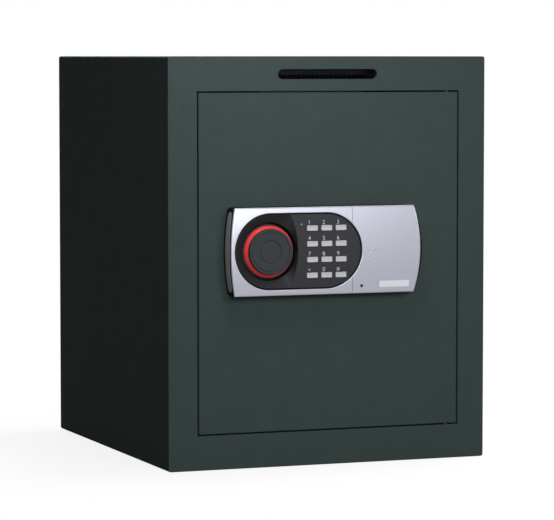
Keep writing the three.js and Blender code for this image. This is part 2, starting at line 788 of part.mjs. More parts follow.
// A block whose front follows the crown, set back by offset.
// Its top and bottom front edges may be rounded.
function crownedBlock(left, right, halfHeight, offset, back, edgeRadius) {
  const shape = new THREE.Shape();
  const flat = halfHeight - edgeRadius;
  const edgeY = crownFrontY + offset + crownDrop(flat);
  const share = edgeRoundShare;
  shape.moveTo(back(-halfHeight), panelZ - halfHeight);
  if (edgeRadius > 0) {
    shape.lineTo(edgeY + edgeRadius, panelZ - halfHeight);
    shape.lineTo(edgeY + edgeRadius * share, panelZ - halfHeight + edgeRadius * share);
  }
  for (let step = 0; step <= crownSteps; step += 1) {
    const height = flat * ((2 * step) / crownSteps - 1);
    shape.lineTo(crownFrontY + offset + crownDrop(height), panelZ + height);
  }
  if (edgeRadius > 0) {
    shape.lineTo(edgeY + edgeRadius * share, panelZ + halfHeight - edgeRadius * share);
    shape.lineTo(edgeY + edgeRadius, panelZ + halfHeight);
  }
  for (let step = 0; step <= crownSteps; step += 1) {
    const height = halfHeight * (1 - (2 * step) / crownSteps);
    shape.lineTo(back(height), panelZ + height);
  }
  return alongX(shape, left, right);
}

function panelStadium(grow, front, back) {
  return alongY(
    stadium(knobAxisX, stadiumRightX, panelZ, stadiumRadius + grow), front, back, stadiumSteps);
}

function boardPostPlaces() {
  const x = boardRight - boardPostInset;
  const z = boardHeight / 2 - boardPostInset;
  return [[x, panelZ - z], [x, panelZ + z], [boardLeft + boardPostInset, panelZ - z]];
}

function makeHousing() {
  const [left, right] = [panelX - panelLength, panelX + panelLength];
  const block = crownedBlock(
    left, right, panelHeight / 2, shellThickness + fit, () => frontY, 0);
  const outline = (inset, front, back) => alongY(panelOutline(inset), front, back, endSteps);
  const hollow = outline(housingWall, crownFrontY - overrun, housingFloorY);
  const posts = boardPostPlaces().map(([x, z]) => rodAlongY(
    boardPostRadius, x, boardBackY, frontY - housingFloor / 2, z, smallSides));
  const through = (radius, x, z) => rodAlongY(
    radius, x, housingFloorY - overrun, frontY + overrun, z, smallSides);
  piece('lock_housing', cut(
    join(cut(common(block, outline(0, crownFrontY, frontY)), hollow), ...posts),
    through(bushingRadius + fit, knobAxisX, panelZ),
    through(overrideRadius + fit, overrideX, overrideZ)), blackPlastic);

  const shell = cut(
    common(
      crownedBlock(left, right, panelHeight / 2, 0,
        (height) => crownFrontY + shellThickness + crownDrop(height), shellEdgeRadius),
      outline(0, crownFrontY - overrun, frontY)),
    panelStadium(0, crownFrontY - overrun, frontY));
  const half = (from, to) => box(
    from, to, crownFrontY - overrun, frontY, panelZ - panelHeight, panelZ + panelHeight);
  piece('face_plate', common(shell, half(left, seamX - seamGap / 2)), silverPaint);
  const coverBackY = crownFrontY + shellThickness + crownDrop(coverScrewRise);
  piece('battery_cover', cut(
    common(shell, half(seamX + seamGap / 2, right)),
    rodAlongY(
      coverScrewRadius + fit, coverScrewX, crownFrontY - overrun, frontY, coverScrewZ, smallSides)),
  silverPaint);
  piece('battery_cover_screw', rodAlongY(
    coverScrewRadius, coverScrewX, coverBackY - shellThickness / 2, coverBackY, coverScrewZ,
    smallSides), darkSteel);
}

// How far the funnel's rim is from the knob's axis, in a direction counted from +X.
function funnelReach(angle) {
  const round = stadiumRadius - fit - funnelLand;
  const [cosine, sine] = [Math.cos(angle), Math.abs(Math.sin(angle))];
  if (cosine <= 0) return round;
  const inward = creaseRadius - creaseReach;
  const crease = Math.sqrt(creaseRadius ** 2 - (inward * sine) ** 2) - inward * cosine;
  return Math.min(crease, round / sine);
}

function funnel() {
  const ring = (reach, level) => Array.from({ length: funnelSteps }, (_, step) => {
    const angle = (2 * Math.PI * step) / funnelSteps;
    const radius = reach(angle);
    const height = radius * Math.sin(angle);
    return new THREE.Vector3(knobAxisX + radius * Math.cos(angle), level(height), panelZ + height);
  });
  return loft([
    ring(() => wellRadius, () => insertFrontY + funnelDepth),
    ring(funnelReach, (height) => insertFrontY + crownDrop(height)),
    ring(funnelReach, () => insertFrontY - overrun),
  ]);
}

function keyPlaces() {
  const places = [];
  for (let row = 0; row < keyRows; row += 1) {
    for (let column = 0; column < keyColumns; column += 1) {
      places.push([
        keysX + (column - (keyColumns - 1) / 2) * keyPitchX,
        keysRise + ((keyRows - 1) / 2 - row) * keyPitchZ,
      ]);
    }
  }
  return places;
}

function keyOutline(x, height, grow) {
  const [width, tall] = [keyWidth / 2 + grow, keyHeight / 2 + grow];
  const z = panelZ + height;
  return roundedRectangle(x - width, x + width, z - tall, z + tall, keyCorner);
}

function makeInsert() {
  const halfHeight = stadiumRadius - fit;
  const plate = common(
    crownedBlock(
      panelX - panelLength, panelX + panelLength, halfHeight, insertRecess, () => insertBackY, 0),
    panelStadium(-fit, insertFrontY - overrun, insertBackY));
  const lip = panelStadium(insertLip, insertBackY - insertLipThickness, insertBackY);
  const cupBackY = wellFloorY + wellFloor;
  const cup = turned([
    [0, insertBackY - insertLipThickness], [stadiumRadius - fit, insertBackY - insertLipThickness],
    [stadiumRadius - fit, insertBackY], [wellRadius + wellWall, insertBackY + funnelDepth],
    [wellRadius + wellWall, cupBackY], [0, cupBackY],
  ], knobAxisX, panelZ, roundSides);
  const well = rodAlongY(wellRadius, knobAxisX, insertFrontY - overrun, wellFloorY, panelZ, funnelSteps);
  const bore = rodAlongY(
    bushingRadius + fit, knobAxisX, wellFloorY - overrun, cupBackY + overrun, panelZ, smallSides);
  const keyHoles = keyPlaces().map(([x, height]) => alongY(
    keyOutline(x, height, fit), insertFrontY - overrun, insertBackY + overrun, keyCornerSteps));
  const lightHole = rodAlongY(
    ledRadius + fit, ledX, insertFrontY - overrun, insertBackY + overrun, panelZ + ledRise,
    smallSides);
  piece('keypad_insert', cut(
    join(plate, lip, cup), well, funnel(), bore, lightHole, ...keyHoles), blackGloss);
}

function makeKeys() {
  keyPlaces().forEach(([x, height], number) => {
    const front = insertFrontY + crownDrop(height) - keyProud;
    const back = keyFlangeY + keyFlangeThickness;
    piece(`key_${keyNames[number]}`, join(
      alongY(keyOutline(x, height, 0), front, back, keyCornerSteps),
      alongY(keyOutline(x, height, keyFlange), keyFlangeY, back, keyCornerSteps)), keyPlastic);
  });
  const [first, last] = [keyPlaces()[0], keyPlaces().at(-1)];
  const [reachX, reachZ] = [keyWidth / 2 + matMargin, keyHeight / 2 + matMargin];
  const sheet = box(
    first[0] - reachX, last[0] + reachX, matFrontY, matFrontY + matThickness,
    panelZ + last[1] - reachZ, panelZ + first[1] + reachZ);
  const domes = keyPlaces().map(([x, height]) => rodAlongY(
    domeRadius, x, matTopY, matFrontY + matThickness / 2, panelZ + height, domeSides));
  piece('key_mat', join(sheet, ...domes), greyRubber);
  const board = box(
    boardLeft, boardRight, boardFrontY, boardBackY,
    panelZ - boardHeight / 2, panelZ + boardHeight / 2);
  piece('circuit_board', board, boardGreen);
  const lensFront = insertFrontY + crownDrop(ledRise) - ledProud;
  piece('status_led', rodAlongY(
    ledRadius, ledX, lensFront, boardFrontY, panelZ + ledRise, smallSides), lightLens);
}

function makeKnob() {
  const groove = (share) => cut(
    rodAlongY(knobRadius * share + knobGrooveWidth / 2, knobAxisX, knobFrontY - overrun,
      knobFrontY + knobGrooveDepth, panelZ, funnelSteps),
    rodAlongY(knobRadius * share - knobGrooveWidth / 2, knobAxisX, knobFrontY - 2 * overrun,
      knobFrontY + overrun, panelZ, funnelSteps));
  const body = turned([
    [0, knobFrontY], [knobRadius - knobEdgeRadius, knobFrontY],
    [knobRadius - knobEdgeRadius * edgeRoundShare, knobFrontY + knobEdgeRadius * edgeRoundShare],
    [knobRadius, knobFrontY + knobEdgeRadius], [knobRadius, ringFrontY],
    [knobNeckRadius, ringFrontY], [knobNeckRadius, ringBackY],
    [knobBaseRadius, ringBackY], [knobBaseRadius, knobBaseY], [0, knobBaseY],
  ], knobAxisX, panelZ, funnelSteps);
  const spindleFrontY = knobBaseY - spindleInKnob;
  const socket = rodAlongY(
    spindleRadius + fit, knobAxisX, spindleFrontY - fit, knobBaseY + overrun, panelZ, smallSides);
  piece('knob', cut(
    body, groove(knobGrooveOuterShare), groove(knobGrooveInnerShare), socket), blackPlastic);
  const neck = rodAlongY(
    knobNeckRadius + fit, knobAxisX, ringFrontY - overrun, ringBackY + overrun, panelZ, funnelSteps);
  piece('knob_ring', cut(
    rodAlongY(ringRadius, knobAxisX, ringFrontY + fit, ringBackY - fit, panelZ, funnelSteps),
    neck), redPlastic);
  piece('knob_spindle', rodAlongY(
    spindleRadius, knobAxisX, spindleFrontY, camBackY, panelZ, smallSides), zincSteel);
  const bore = rodAlongY(
    spindleRadius + fit, knobAxisX, wellFloorY - overrun, camBackY + overrun, panelZ, smallSides);
  const bushingFrontY = wellFloorY + wellFloor / 2;
  piece('knob_bushing', cut(turned([
    [0, bushingFrontY], [bushingRadius, bushingFrontY], [bushingRadius, doorBackY],
    [bushingNutRadius, doorBackY], [bushingNutRadius, bushingBackY], [0, bushingBackY],
  ], knobAxisX, panelZ, smallSides), bore), brass);
  const pinX = knobAxisX + crankRadius * Math.sin(knobTurn / 2);
  const pinZ = panelZ + crankRadius * Math.cos(knobTurn / 2);
  const pin = rodAlongY(
    crankPinRadius, pinX, camFrontY + camThickness / 2, carriageBackY + crankPinProud, pinZ, smallSides);
  const disc = rodAlongY(camRadius, knobAxisX, camFrontY, camBackY, panelZ);
  piece('drive_cam', cut(join(disc, pin), bore), zincSteel);
}

function makeBatteries() {
  const [low, high] = [panelZ - trayHalfHeight, panelZ + trayHalfHeight];
  piece('battery_tray', cut(
    box(trayLeft, trayRight, housingFloorY - trayHeight, housingFloorY, low, high),
    box(trayLeft + trayWall, trayRight - trayWall, housingFloorY - trayHeight - overrun, trayFloorY,
      low + trayWall, high - trayWall)), blackPlastic);
  const whole = cellLength + cellNubLength;
  const middleX = trayLeft + trayWall + fit + whole / 2;
  const heights = Array.from({ length: cellCount }, (_, cell) => (
    panelZ + (cell - (cellCount - 1) / 2) * cellPitch));
  heights.forEach((z, cell) => {
    const body = turned([
      [0, 0], [cellRadius, 0], [cellRadius, cellLength], [cellNubRadius, cellLength],
      [cellNubRadius, whole], [0, whole],
    ], 0, 0, smallSides);
    const turn = cell % 2 ? Math.PI / 2 : -Math.PI / 2;
    piece(`battery_cell_${cell + 1}`, body.translate(0, -whole / 2, 0).rotateZ(turn)
      .translate(middleX, cellY, z), cellJacket);
  });
}

function makeOverride() {
  const [x, z] = [overrideX, overrideZ];
  const [front, back] = [frontY - overrideFront, doorBackY + overrideBack];
  piece('override_lock_body', cut(
    rodAlongY(overrideRadius, x, front, back, z, smallSides),
    rodAlongY(plugRadius + fit, x, front - overrun, back + overrun, z, smallSides)), zincSteel);
  piece('override_nut', cut(
    rodAlongY(nutRadius, x, doorBackY, doorBackY + nutThickness, z, nutSides),
    rodAlongY(overrideRadius + fit, x, front, back, z, smallSides)), zincSteel);
  piece('override_plug', cut(
    rodAlongY(plugRadius, x, front, back + fit, z, smallSides),
    box(x - keySlotWidth / 2, x + keySlotWidth / 2, front - overrun, front + keySlotDepth,
      z - keySlotHeight / 2, z + keySlotHeight / 2)), brass);
  const lever = new THREE.Shape();
  lever.absarc(x, z, plugRadius, 0, Math.PI);
  lever.absarc(x, z - camLeverLength + camLeverRadius, camLeverRadius, Math.PI, 2 * Math.PI);
  piece('override_cam', alongY(lever, back + fit, back + fit + camLeverThickness), zincSteel);
}

makeCase();
makeFrame();
makeChute();
makeDoor();
makeBoltWork();
makeSolenoid();
makeHousing();
makeInsert();
makeKeys();
makeKnob();
makeBatteries();
makeOverride();

export default safe;
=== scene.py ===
"""Dresses a steel drop safe: fine pieces, finishes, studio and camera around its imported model.

Everything is in metres with +Z up. The origin is the middle of the case's underside. The door
faces -Y, its hinges are on the right, and outlines are drawn as seen from the front.
"""

from __future__ import annotations

import json
import logging
import math
from collections.abc import Callable, Iterable, Sequence
from dataclasses import dataclass
from enum import StrEnum
from itertools import pairwise

import bmesh
import bpy
from mathutils import Matrix, Vector

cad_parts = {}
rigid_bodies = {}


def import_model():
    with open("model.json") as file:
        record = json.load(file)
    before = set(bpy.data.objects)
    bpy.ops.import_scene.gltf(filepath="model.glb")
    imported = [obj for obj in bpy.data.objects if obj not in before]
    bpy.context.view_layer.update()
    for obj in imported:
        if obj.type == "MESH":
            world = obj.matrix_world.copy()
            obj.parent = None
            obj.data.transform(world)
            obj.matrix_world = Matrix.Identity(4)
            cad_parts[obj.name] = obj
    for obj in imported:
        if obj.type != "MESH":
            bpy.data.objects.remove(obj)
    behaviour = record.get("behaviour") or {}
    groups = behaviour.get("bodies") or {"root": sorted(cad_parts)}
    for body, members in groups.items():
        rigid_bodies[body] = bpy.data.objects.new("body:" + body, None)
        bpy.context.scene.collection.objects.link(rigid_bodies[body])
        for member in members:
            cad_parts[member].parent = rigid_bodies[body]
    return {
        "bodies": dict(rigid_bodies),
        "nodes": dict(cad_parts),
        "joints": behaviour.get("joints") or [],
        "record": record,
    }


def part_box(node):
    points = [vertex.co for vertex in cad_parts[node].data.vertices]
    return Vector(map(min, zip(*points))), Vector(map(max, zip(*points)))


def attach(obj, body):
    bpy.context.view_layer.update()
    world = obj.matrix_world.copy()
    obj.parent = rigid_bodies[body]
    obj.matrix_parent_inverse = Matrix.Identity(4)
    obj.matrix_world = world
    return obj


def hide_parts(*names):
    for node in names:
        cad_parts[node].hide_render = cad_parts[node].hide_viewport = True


LOG = logging.getLogger("drop_safe")

# Straight steps in the arc of a small rounded corner, and the radius under which a point of a
# turned profile lies on its axis.
ARC_STEPS = 5
ON_AXIS = 1e-7

# The display curve, which is straight up to its knee and a power above it.
KNEE, SLOPE, RAISE, POWER = 0.04045, 12.92, 0.055, 2.4

# Nodes of the model that more than one class needs.
PINS = ("hinge_pin_lower", "hinge_pin_upper")
BOLTS = ("locking_bolt_lower", "locking_bolt_middle", "locking_bolt_upper")

Point = tuple[float, float]
Corner = tuple[float, float, float]
Loop = list[Point]
Colour = tuple[float, float, float]
Light = tuple[float, float, float, float]
Mesh = bmesh.types.BMesh


class Body(StrEnum):
    """The bodies of the model that pieces ride on, but for the keys' own."""

    CASE = "case"
    DOOR = "door"
    KNOB = "knob_group"
    BOLTS = "bolt_work"
    PLUNGER = "plunger"
    LID = "battery_lid"
    OVERRIDE = "override"


class Slot(StrEnum):
    """The record's material slots."""

    GREEN = "green_paint"
    SILVER = "silver_paint"
    GLOSS = "black_gloss"
    BLACK = "black_plastic"
    RED = "red_plastic"
    KEY = "key_plastic"
    ZINC = "zinc_steel"
    DARK = "dark_steel"
    BRASS = "brass"
    RUBBER = "grey_rubber"
    BOARD = "board"
    CELL = "cell_jacket"
    LENS = "light_lens"
    TAPE = "coil_tape"


class Operation(StrEnum):
    """How one solid changes another."""

    CUT = "DIFFERENCE"
    JOIN = "UNION"


# Node trees


class Socket:
    """An output of a node, which Python arithmetic turns into Math nodes."""

    def __init__(self, graph: Graph, raw: bpy.types.NodeSocket) -> None:
        """Wraps an output socket of a graph."""
        self.graph = graph
        self.raw = raw

    def math(self, operation: str, *values: Socket | float) -> Socket:
        """Returns the result of a Math node on some values."""
        return self.graph.node(
            "ShaderNodeMath", {"operation": operation}, dict(enumerate(values)))

    def __add__(self, other: Socket | float) -> Socket:
        """Adds a value."""
        return self.math("ADD", self, other)

    def __radd__(self, other: float) -> Socket:
        """Adds to a value."""
        return self.math("ADD", other, self)

    def __sub__(self, other: Socket | float) -> Socket:
        """Takes a value away."""
        return self.math("SUBTRACT", self, other)

    def __rsub__(self, other: float) -> Socket:
        """Is taken away from a value."""
        return self.math("SUBTRACT", other, self)

    def __mul__(self, other: Socket | float) -> Socket:
        """Multiplies by a value."""
        return self.math("MULTIPLY", self, other)

    def __rmul__(self, other: float) -> Socket:
        """Multiplies a value."""
        return self.math("MULTIPLY", other, self)

    def __gt__(self, other: float) -> Socket:
        """Is 1 where it is over a value, and 0 elsewhere."""
        return self.math("GREATER_THAN", self, other)

    def larger(self, other: Socket | float) -> Socket:
        """Returns the larger of two values."""
        return self.math("MAXIMUM", self, other)


class Graph:
    """Adds nodes to a tree, for materials, the world and Geometry Nodes alike."""

    MIX_FACTOR, MIX_A, MIX_B, MIX_RESULT = 0, 6, 7, 2

    def __init__(self, tree: bpy.types.NodeTree) -> None:
        """Starts from an empty tree."""
        tree.nodes.clear()
        self.tree = tree

    def node(
        self,
        kind: str,
        settings: dict[str, object] | None = None,
        inputs: dict[str | int, object] | None = None,
        output: str | int = 0,
    ) -> Socket:
        """Adds one node.

        Args:
            kind: The node's type.
            settings: Its properties, which are set first.
            inputs: A value or a Socket for each of its inputs that is used.
            output: The output that is wanted.

        Returns:
            That output.
        """
        made = self.tree.nodes.new(kind)
        for name, value in (settings or {}).items():
            setattr(made, name, value)
        for name, value in (inputs or {}).items():
            if isinstance(value, Socket):
                self.tree.links.new(value.raw, made.inputs[name])
            else:
                made.inputs[name].default_value = value
        return Socket(self, made.outputs[output])

    def place(self, stretch: Sequence[float] = (1, 1, 1)) -> Socket:
        """Returns the point on the piece, with each axis multiplied by a share."""
        point = self.node("ShaderNodeTexCoord", output="Object")
        return self.node(
            "ShaderNodeVectorMath", {"operation": "MULTIPLY"}, {0: point, 1: tuple(stretch)})

    def noise(self, size: float, detail: float = 2, stretch: Sequence[float] = (1, 1, 1)) -> Socket:
        """Returns a soft noise from 0 to 1 whose features are about as large as size."""
        return self.node("ShaderNodeTexNoise", inputs={
            "Vector": self.place(stretch), "Scale": 1 / size, "Detail": detail})

    def cells(self, size: float) -> Socket:
        """Returns the height of rounded pebbles about as large as size."""
        return self.node(
            "ShaderNodeTexVoronoi", {"feature": "SMOOTH_F1"},
            {"Vector": self.place(), "Scale": 1 / size, "Smoothness": 1.0}, "Distance")

    def axis(self, name: str) -> Socket:
        """Returns one coordinate of the point on the piece."""
        return self.node("ShaderNodeSeparateXYZ", inputs={0: self.place()}, output=name)

    def mixed(self, share: Socket | float, first: object, second: object) -> Socket:
        """Returns a colour between two colours."""
        inputs = {self.MIX_FACTOR: share, self.MIX_A: first, self.MIX_B: second}
        return self.node("ShaderNodeMix", {"data_type": "RGBA"}, inputs, self.MIX_RESULT)

    def end(self, kind: str, result: Socket) -> None:
        """Adds the tree's output node, and links a result to it."""
        made = self.tree.nodes.new(kind)
        self.tree.links.new(result.raw, made.inputs[0])


def linear(tone: Colour, share: float = 1.0) -> Light:
    """Turns a display colour from 0 to 255 into the light that it stands for.

    Args:
        tone: Red, green and blue.
        share: How much of that light is wanted.

    Returns:
        The colour for a node, with its alpha.
    """
    parts = (value / 255 for value in tone)
    light = (c / SLOPE if c <= KNEE else ((c + RAISE) / (1 + RAISE)) ** POWER for c in parts)
    return (*(min(1.0, value * share) for value in light), 1.0)


# Finishes


@dataclass(frozen=True)
class Finish:
    """A moulded or painted surface: one tone with a faint mottle and a fine grain.

    Attributes:
        name: The material's name.
        slot: The record's slot that it stands for; it is not used.
        tone: Its display colour.
        roughness: Its mean roughness.
        metallic: How much it is metal.
        specular: Its specular level.
        coat: The weight of a clear coat.
        mottle: The share by which the tone swings.
        mottle_size: The width of a patch of the mottle.
        grain: The height of the grain.
        grain_size: The width of a grain.
        swing: The share by which the roughness swings.
    """

    name: str
    slot: Slot
    tone: Colour
    roughness: float
    metallic: float = 0.0
    specular: float = 0.5
    coat: float = 0.0
    mottle: float = 0.05
    mottle_size: float = 0.012
    grain: float = 0.00001
    grain_size: float = 0.0006
    swing: float = 0.1

    COAT_ROUGHNESS = 0.08

    def shades(self) -> tuple[Light, Light]:
        """Returns the tone at its darkest and at its lightest."""
        return linear(self.tone, 1 - self.mottle), linear(self.tone, 1 + self.mottle)

    def colour(self, graph: Graph) -> Socket:
        """Returns the tone with its mottle."""
        return graph.mixed(graph.noise(self.mottle_size), *self.shades())

    def rough(self, graph: Graph) -> Socket:
        """Returns the roughness with its swing."""
        noise = graph.noise(self.mottle_size / 2)
        return noise * (2 * self.swing * self.roughness) + self.roughness * (1 - self.swing)

    def height(self, graph: Graph) -> Socket:
        """Returns the grain as a height from 0 to 1."""
        return graph.noise(self.grain_size)

    def material(self) -> bpy.types.Material:
        """Makes the material, or finds it if it has been made.

        Returns:
            The material.
        """
        found = bpy.data.materials.get(self.name)
        if found:
            return found
        made = bpy.data.materials.new(self.name)
        made.use_nodes = True
        graph = Graph(made.node_tree)
        normal = graph.node("ShaderNodeBump", inputs={
            "Height": self.height(graph), "Distance": self.grain, "Strength": 1.0})
        graph.end("ShaderNodeOutputMaterial", graph.node("ShaderNodeBsdfPrincipled", inputs={
            "Base Color": self.colour(graph),
            "Roughness": self.rough(graph),
            "Metallic": self.metallic,
            "Specular IOR Level": self.specular,
            "Coat Weight": self.coat,
            "Coat Roughness": self.COAT_ROUGHNESS,
            "Normal": normal,
        }))
        made.diffuse_color = linear(self.tone)
        return made


@dataclass(frozen=True)
class PowderCoat(Finish):
    """Baked powder paint, whose surface is a fine pebble."""

    fine_share: float = 0.5

    def height(self, graph: Graph) -> Socket:
        """Returns pebbles with a finer noise over them."""
        return graph.cells(self.grain_size) + graph.noise(self.grain_size / 2) * self.fine_share


@dataclass(frozen=True)
class FlakePaint(Finish):
    """Silver paint, whose flakes are lighter and darker specks."""

    flake_size: float = 0.0007

    def colour(self, graph: Graph) -> Socket:
        """Returns the tone with specks of flake."""
        return graph.mixed(graph.noise(self.flake_size, detail=0), *self.shades())


@dataclass(frozen=True)
class TexturedPlastic(Finish):
    """Moulded plastic with a spark-eroded texture."""

    def height(self, graph: Graph) -> Socket:
        """Returns an even pebble."""
        return graph.cells(self.grain_size)

    def colour(self, graph: Graph) -> Socket:
        """Returns a tone that is darker between the pebbles."""
        low, high = self.shades()
        return graph.mixed(graph.cells(self.grain_size), high, low)


@dataclass(frozen=True)
class BrushedMetal(Finish):
    """Plated or turned metal, with fine marks along one axis."""

    along: tuple[float, float, float] = (0.06, 1.0, 1.0)

    def height(self, graph: Graph) -> Socket:
        """Returns a noise that is drawn out along the marks."""
        return graph.noise(self.grain_size, detail=3, stretch=self.along)


@dataclass(frozen=True)
class BoardLaminate(Finish):
    """A green circuit board with paler tracks under its mask."""

    track_pitch: float = 0.004
    track_level: float = 0.55
    track_gain: float = 1.6

    def colour(self, graph: Graph) -> Socket:
        """Returns the mask's tone with tracks along one axis."""
        angle = graph.axis("Z") * (math.tau / self.track_pitch)
        tracks = angle.math("SINE", angle) > self.track_level
        return graph.mixed(tracks, linear(self.tone), linear(self.tone, self.track_gain))


GREEN_COAT = PowderCoat(
    "green_powder_coat", Slot.GREEN, (51, 62, 61), 0.75, specular=0.01, mottle=0.08,
    mottle_size=0.02, grain=0.00016, grain_size=0.0015)
SILVER = FlakePaint(
    "silver_flake_paint", Slot.SILVER, (154, 156, 167), 0.36, metallic=0.52, mottle=0.1,
    grain=0.000004, grain_size=0.0005)
WELL_BLACK = Finish(
    "smooth_black_moulding", Slot.GLOSS, (24, 25, 27), 0.5, specular=0.12, mottle=0.1,
    grain=0.000002)
FIELD_BLACK = TexturedPlastic(
    "textured_key_field", Slot.GLOSS, (30, 32, 35), 0.6, specular=0.2, mottle=0.35,
    grain=0.00006, grain_size=0.0011)
# The housing's near-black tone is painted shade: its bands round the grey side trims and the sheet
# past its right end stand in for shadow lines.
HOUSING_SHADE_BLACK = TexturedPlastic(
    "textured_housing_shade", Slot.BLACK, (12, 12, 13), 0.55, specular=0.1, mottle=0.12,
    grain=0.00003, grain_size=0.0008)
TRIM_GREY = Finish("grey_side_trim", Slot.BLACK, (146, 147, 150), 0.5, specular=0.3)
KNOB_BLACK = Finish(
    "satin_knob", Slot.BLACK, (34, 38, 41), 0.5, specular=0.16, mottle=0.08,
    grain=0.000008, grain_size=0.0004)
TRAY_BLACK = Finish("moulded_tray", Slot.BLACK, (30, 31, 33), 0.5, mottle=0.1)
RED = Finish("red_ring", Slot.RED, (212, 58, 60), 0.3, mottle=0.04, grain=0.000003)
KEY_GREY = Finish(
    "key_plastic_grey", Slot.KEY, (158, 159, 165), 0.5, mottle=0.03, grain=0.000006,
    grain_size=0.0005)
ZINC = BrushedMetal(
    "bright_zinc", Slot.ZINC, (176, 180, 184), 0.32, metallic=1.0, mottle=0.08,
    mottle_size=0.006, grain=0.000006)
PIN_STEEL = Finish("oiled_pin", Slot.ZINC, (52, 54, 54), 0.6, specular=0.1)
DARK_STEEL = BrushedMetal(
    "black_oxide_steel", Slot.DARK, (58, 60, 63), 0.5, metallic=0.8, mottle=0.12, grain=0.00001)
BRASS = BrushedMetal(
    "turned_brass", Slot.BRASS, (190, 156, 90), 0.3, metallic=1.0, grain=0.000006,
    along=(1.0, 0.06, 1.0))
RUBBER = Finish(
    "grey_rubber_plug", Slot.RUBBER, (104, 106, 108), 0.8, mottle=0.08, grain=0.00003,
    grain_size=0.001)
BOARD = BoardLaminate("circuit_laminate", Slot.BOARD, (28, 84, 50), 0.4)
CELL = Finish("cell_sleeve", Slot.CELL, (44, 48, 54), 0.28, mottle=0.05, coat=0.4)
LENS = Finish("dim_lens", Slot.LENS, (78, 84, 60), 0.3, mottle=0.03)
TAPE = Finish("coil_wrap", Slot.TAPE, (70, 52, 40), 0.6, mottle=0.12, grain_size=0.002)
LABEL = Finish("bare_label", Slot.SILVER, (194, 197, 204), 0.6, specular=0.2, mottle=0.02)
SCREW_BLACK = Finish("black_screw", Slot.DARK, (20, 20, 22), 0.5, specular=0.15)
INK = Finish("white_print", Slot.KEY, (184, 187, 190), 0.6, mottle=0.03)


# Outlines, as seen from the front


def rounded(corners: Sequence[Corner], steps: int = 6, closed: bool = True) -> Loop:
    """Turns a chain of corners into a line with its corners rounded.

    Args:
        corners: Each corner as two coordinates and a radius, which may be zero.
        steps: Straight steps in each arc.
        closed: Whether the last corner joins the first.

    Returns:
        The points of the line.
    """
    points: Loop = []
    for number, (across, up, radius) in enumerate(corners):
        at_end = not closed and number in (0, len(corners) - 1)
        if radius <= 0 or at_end:
            points.append((across, up))
            continue
        here = Vector((across, up))
        before = (Vector(corners[number - 1][:2]) - here).normalized()
        after = (Vector(corners[(number + 1) % len(corners)][:2]) - here).normalized()
        half = before.angle(after) / 2
        reach = radius / math.tan(half)
        centre = here + (before + after).normalized() * (radius / math.sin(half))
        first, last = here + before * reach - centre, here + after * reach - centre
        start = math.atan2(first.y, first.x)
        sweep = (math.atan2(last.y, last.x) - start + math.pi) % math.tau - math.pi
        points.extend(arc(tuple(centre), radius, start, start + sweep, steps))
    return points


def arc(centre: Point, radius: float, start: float, stop: float, steps: int) -> Loop:
    """Returns points along an arc, both ends included."""
    turns = (start + (stop - start) * step / steps for step in range(steps + 1))
    return [
        (centre[0] + radius * math.cos(turn), centre[1] + radius * math.sin(turn)) for turn in turns]


def circle(centre: Point, radius: float, steps: int = 64) -> Loop:
    """Returns a closed round outline."""
    return arc(centre, radius, 0, math.tau, steps)[:-1]


def rectangle(
    left: float, right: float, bottom: float, top: float, radius: float = 0.0, steps: int = 6,
) -> Loop:
    """Returns a rectangle, counter-clockwise, with its corners rounded."""
    corners = ((left, bottom), (right, bottom), (right, top), (left, top))
    return rounded([(*corner, radius) for corner in corners], steps)


def stadium(left: float, right: float, level: float, radius: float, steps: int = 40) -> Loop:
    """Returns a bar with round ends about two centres on one level."""
    quarter = math.pi / 2
    return (arc((right, level), radius, -quarter, quarter, steps)
            + arc((left, level), radius, quarter, 3 * quarter, steps))


def offset(loop: Loop, distance: float) -> Loop:
    """Moves an outline inwards.

    Args:
        loop: The outline, counter-clockwise.
        distance: How far it moves, which is negative for outwards.

    Returns:
        The new outline, with as many points.
    """
    if not distance:
        return loop
    moved: Loop = []
    for number, point in enumerate(loop):
        here = Vector(point)
        before = (here - Vector(loop[number - 1])).normalized()
        after = (Vector(loop[(number + 1) % len(loop)]) - here).normalized()
        first, second = Vector((-before.y, before.x)), Vector((-after.y, after.x))
        mitre = (first + second) / (1 + first.dot(second))
        moved.append(tuple(here + mitre * distance))
    return moved


# Solids


def skin(mesh: Mesh, rows: Sequence[Sequence[bmesh.types.BMVert]], wrap: bool = False) -> None:
    """Joins closed rows of points with faces.

    Args:
        mesh: The mesh that has the points.
        rows: The rows, each with as many points as the next, or with one on an axis.
        wrap: Whether the last row is joined to the first.
    """
    chain = [*rows, rows[0]] if wrap else rows
    for lower, upper in pairwise(chain):
        count = max(len(lower), len(upper))
        for step in range(count):
            ahead = (step + 1) % count
            if len(lower) == 1:
                mesh.faces.new((lower[0], upper[step], upper[ahead]))
            elif len(upper) == 1:
                mesh.faces.new((lower[step], upper[0], lower[ahead]))
            else:
                mesh.faces.new((lower[step], upper[step], upper[ahead], lower[ahead]))


def ring(mesh: Mesh, loop: Loop, level: float) -> list[bmesh.types.BMVert]:
    """Adds an outline's points at one level of y."""
    return [mesh.verts.new((x, level, z)) for x, z in loop]


def closing(mesh: Mesh, row: Sequence[bmesh.types.BMVert]) -> list[bmesh.types.BMEdge]:
    """Returns the edges of a closed row of points."""
    return [mesh.edges.get((row[step - 1], row[step])) for step in range(len(row))]


def outwards(mesh: Mesh) -> Mesh:
    """Turns all faces outwards."""
    bmesh.ops.recalc_face_normals(mesh, faces=mesh.faces[:])
    return mesh


@dataclass(frozen=True)
class Rim:
    """An outline of a plate, with the radii of its front and back edges."""

    loop: Loop
    front: float = 0.0
    back: float = 0.0

    def section(self, front: float, back: float, steps: int) -> Loop:
        """Returns the edge as (inset, level) from the front face round to the back."""
        corners = [(0, front, self.front), (0, back, self.back)]
        return edge_section(corners, self.front + 1, self.back + 1, steps)


